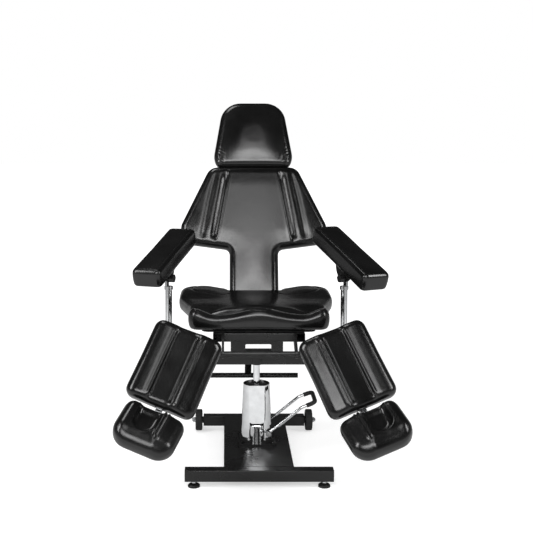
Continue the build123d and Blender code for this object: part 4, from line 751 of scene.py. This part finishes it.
def head_detail(u, v, depth):
    """Creases where the vinyl is gathered round the lower corners."""
    gather = bump(v, 0.585, 0.03) * bump(np.abs(u), 0.135, 0.02)
    return 0.0010 * np.sin((np.abs(u) * 0.9 - v) * 330 + 2 * np.sin(v * 130)) * gather


head = cut_foam(
    "headrest_pad", head_pattern, head_thickness, voxel=0.005, face_roll=0.025, foot_roll=0.014,
    belly=0.003, height=head_height,
)
smooth_skin(head, rounds=2)
sew(head, head_pattern, head_detail)
cover(head, back_place, "headrest", "headrest_cushion")
head_board_face = -0.0703
lay_row("headrest_staples", staple_row, staple, [round_board(head_pattern, 0.022, head_board_face)],
        back_place, "headrest")

# Arm pads: long boxes of foam under vinyl, screwed to the tilt brackets. The cover's top is sewn to its
# sides with a welt and a row of stitches. The two stand at slightly different angles.
both_sides = (("left", -1), ("right", 1))
arm_thickness = 0.064
arm_hinge_x, arm_hinge_y, arm_hinge_z = 0.325, 0.055, 0.708
arm_face_above = 0.079
arm_stitch_depth = 0.0135
arm_splays = {"left": 18, "right": 24}
arm_slopes = {"left": 17, "right": 21}
arm_pattern = Pattern(rounded(
    mirrored([(0.053, -0.2074), (0.051, -0.015), (0.053, 0.1766)]), [0.017, 0.4, 0.017, 0.017, 0.4, 0.017]
))


def arm_height(u, v, depth):
    """A slight crown."""
    return 0.003 * ease(0.0, 0.04, depth)


def arm_detail(u, v, depth):
    """The welt that stands round the top, and the pull of the cover between its corners."""
    welt = 0.0016 * bump(depth, 0.0075, 0.0028)
    return welt - 0.0012 * bump(depth, 0.013, 0.004)


for name, side in both_sides:
    splay, slope = math.radians(arm_splays[name]), math.radians(arm_slopes[name])
    ahead = Vector((side * math.sin(splay), -math.cos(splay), 0))
    arm_across = Vector((math.cos(splay), side * math.sin(splay), 0))
    arm_normal = ahead * math.sin(slope) + Vector((0, 0, math.cos(slope)))
    arm_face = Vector((side * arm_hinge_x, arm_hinge_y, arm_hinge_z)) + arm_normal * arm_face_above
    arm_place = plane(arm_face, arm_across, arm_normal)
    pad = cut_foam(
        f"arm_pad_{name}", arm_pattern, arm_thickness, voxel=0.0045, face_roll=0.011,
        foot_roll=0.010, belly=0.003, height=arm_height,
    )
    smooth_skin(pad, rounds=1)
    sew(pad, arm_pattern, arm_detail)
    welt_line = on_face(pad, inside(arm_pattern, arm_stitch_depth))
    lay_row(f"arm_stitches_{name}", stitch_row, stitch, [welt_line], arm_place, f"armrest_{name}")
    cover(pad, arm_place, f"armrest_{name}", f"arm_cushion_{name}")

# Leg pads: foam on a board that hangs from the seat's front rod. A broad bolster runs down the outer side,
# a flat sunk panel beside it, then a narrow roll between two seams, and the inner side falls away.
leg_width, leg_length, leg_thickness = 0.232, 0.270, 0.064
leg_hinge_x, leg_hinge_y, leg_hinge_z = 0.229, -0.285, 0.465
leg_above_hinge, leg_before_hinge = 0.054, 0.092
leg_waist = 0.0015
leg_slope, leg_splay = math.radians(57), math.radians(22.2)
leg_down = Vector((0, -math.cos(leg_slope), -math.sin(leg_slope)))
leg_normal = Vector((0, -math.sin(leg_slope), math.cos(leg_slope)))
leg_pattern = Pattern(rounded(
    mirrored([
        (leg_width / 2, -leg_length), (leg_width / 2 - leg_waist, -leg_length / 2), (leg_width / 2, 0.0)
    ]),
    [0.026, 0.5, 0.026, 0.026, 0.5, 0.026],
))


def leg_plane(side):
    """The plane of a leg pad's face: u across it, v up along the leg, w out of the face."""
    hinge = Vector((side * leg_hinge_x, leg_hinge_y, leg_hinge_z))
    across = Vector((math.cos(leg_splay), 0, 0)) - leg_down * side * math.sin(leg_splay)
    return plane(hinge - leg_down * leg_above_hinge + leg_normal * leg_before_hinge, across, leg_normal)


def leg_profile(share):
    """Height of the face across a leg pad, from its outer edge at 0 to its inner edge at 1."""
    places = [0.0, 0.06, 0.14, 0.24, 0.31, 0.335, 0.37, 0.48, 0.60, 0.645, 0.69, 0.735, 0.80, 0.90, 1.0]
    millimetres = [-8, -3, 0, -1, -5, -10, -12.5, -11, -9, -5.5, -0.5, -1.5, -6.5, -13, -20]
    return np.interp(share, places, millimetres) / 1000


for name, side in both_sides:

    def leg_height(u, v, depth):
        """The bolster, the sunk panel and the roll."""
        return leg_profile(0.5 - side * u / leg_width)

    def leg_detail(u, v, depth):
        """Sharp seams beside the bolster and on both sides of the roll."""
        share = 0.5 - side * u / leg_width
        along = ease(0.012, 0.03, depth)
        outer = 0.0034 * bump(share, 0.314, 0.015) - 0.0034 * bump(share, 0.350, 0.014)
        roll = 0.0042 * bump(share, 0.688, 0.016) + 0.0038 * bump(share, 0.744, 0.015)
        groove = 0.0014 * bump(share, 0.716, 0.009) + 0.0030 * bump(share, 0.640, 0.018)
        return (outer + roll - groove) * along

    pad = cut_foam(
        f"leg_pad_{name}", leg_pattern, leg_thickness, voxel=0.0045, face_roll=0.020,
        foot_roll=0.012, belly=0.003, height=leg_height,
    )
    smooth_skin(pad, rounds=3)
    sew(pad, leg_pattern, leg_detail)
    cover(pad, leg_plane(side), f"leg_{name}", f"leg_cushion_{name}")

# Foot pads: a deep U of foam on a steel plate that is hinged to the leg's sliding bar. The U stands round
# a hollow that is open towards the leg, with a double roll sewn along its inner side.
foot_width, foot_depth, foot_thickness = 0.196, 0.148, 0.067
foot_inward = 0.009
foot_gap = 0.008
foot_tilt = math.radians(27)
hollow_out, hollow_v, hollow_deep = 0.006, -0.062, 0.019


def from_hollow(out, v):
    """Distance from the hollow's middle line, which runs up to the leg."""
    return np.hypot(out - hollow_out, np.minimum(v - hollow_v, 0))


for name, side in both_sides:
    leg_place = leg_plane(side)
    leg_across = leg_place.col[0].to_3d()
    leg_up = leg_place.col[1].to_3d()
    foot_normal = leg_normal * math.cos(foot_tilt) + leg_up * math.sin(foot_tilt)
    foot_place = plane(leg_place @ Vector((0, -leg_length - foot_gap, 0)), leg_across, foot_normal)
    foot_low = -foot_width / 2 - side * foot_inward
    foot_high = foot_width / 2 - side * foot_inward
    foot_pattern = Pattern(rounded(
        [(foot_low, 0), (foot_low, -foot_depth), (foot_high, -foot_depth), (foot_high, 0)],
        [0.024, 0.052, 0.052, 0.024],
    ))

    def foot_height(u, v, depth):
        """A U-shaped bolster round the hollow, lower at the inner side."""
        out = side * u
        hollow = 1 - ease(0.028, 0.044, from_hollow(out, v))
        hollow = hollow * (1 - 0.5 * ease(-0.035, 0, v))
        places = [-0.107, -0.094, -0.074, -0.056, -0.050, -0.044, -0.038, 0.0, 0.045, 0.064, 0.080, 0.089]
        millimetres = [-19, -14, -9, -3.5, -0.8, 0, -0.8, -2, -1.5, 1.0, -2, -7]
        crest = np.interp(out, places, millimetres) / 1000
        return crest - hollow_deep * hollow - 0.012 * ease(-0.10, -0.155, v)

    def foot_detail(u, v, depth):
        """The seam round the hollow and the double roll."""
        out = side * u
        rim = bump(from_hollow(out, v), 0.044, 0.0025)
        ridges = bump(out, -0.0400, 0.0034) + 0.9 * bump(out, -0.0505, 0.0034)
        roll = ridges - 0.7 * bump(out, -0.0453, 0.0026)
        return 0.0018 * rim + 0.0038 * roll * ease(-0.124, -0.100, v)

    pad = cut_foam(
        f"foot_pad_{name}", foot_pattern, foot_thickness, voxel=0.0045, face_roll=0.022,
        foot_roll=0.016, belly=0.004, height=foot_height,
    )
    smooth_skin(pad, rounds=3)
    sew(pad, foot_pattern, foot_detail)
    cover(pad, foot_place, f"foot_rest_{name}", f"foot_cushion_{name}")
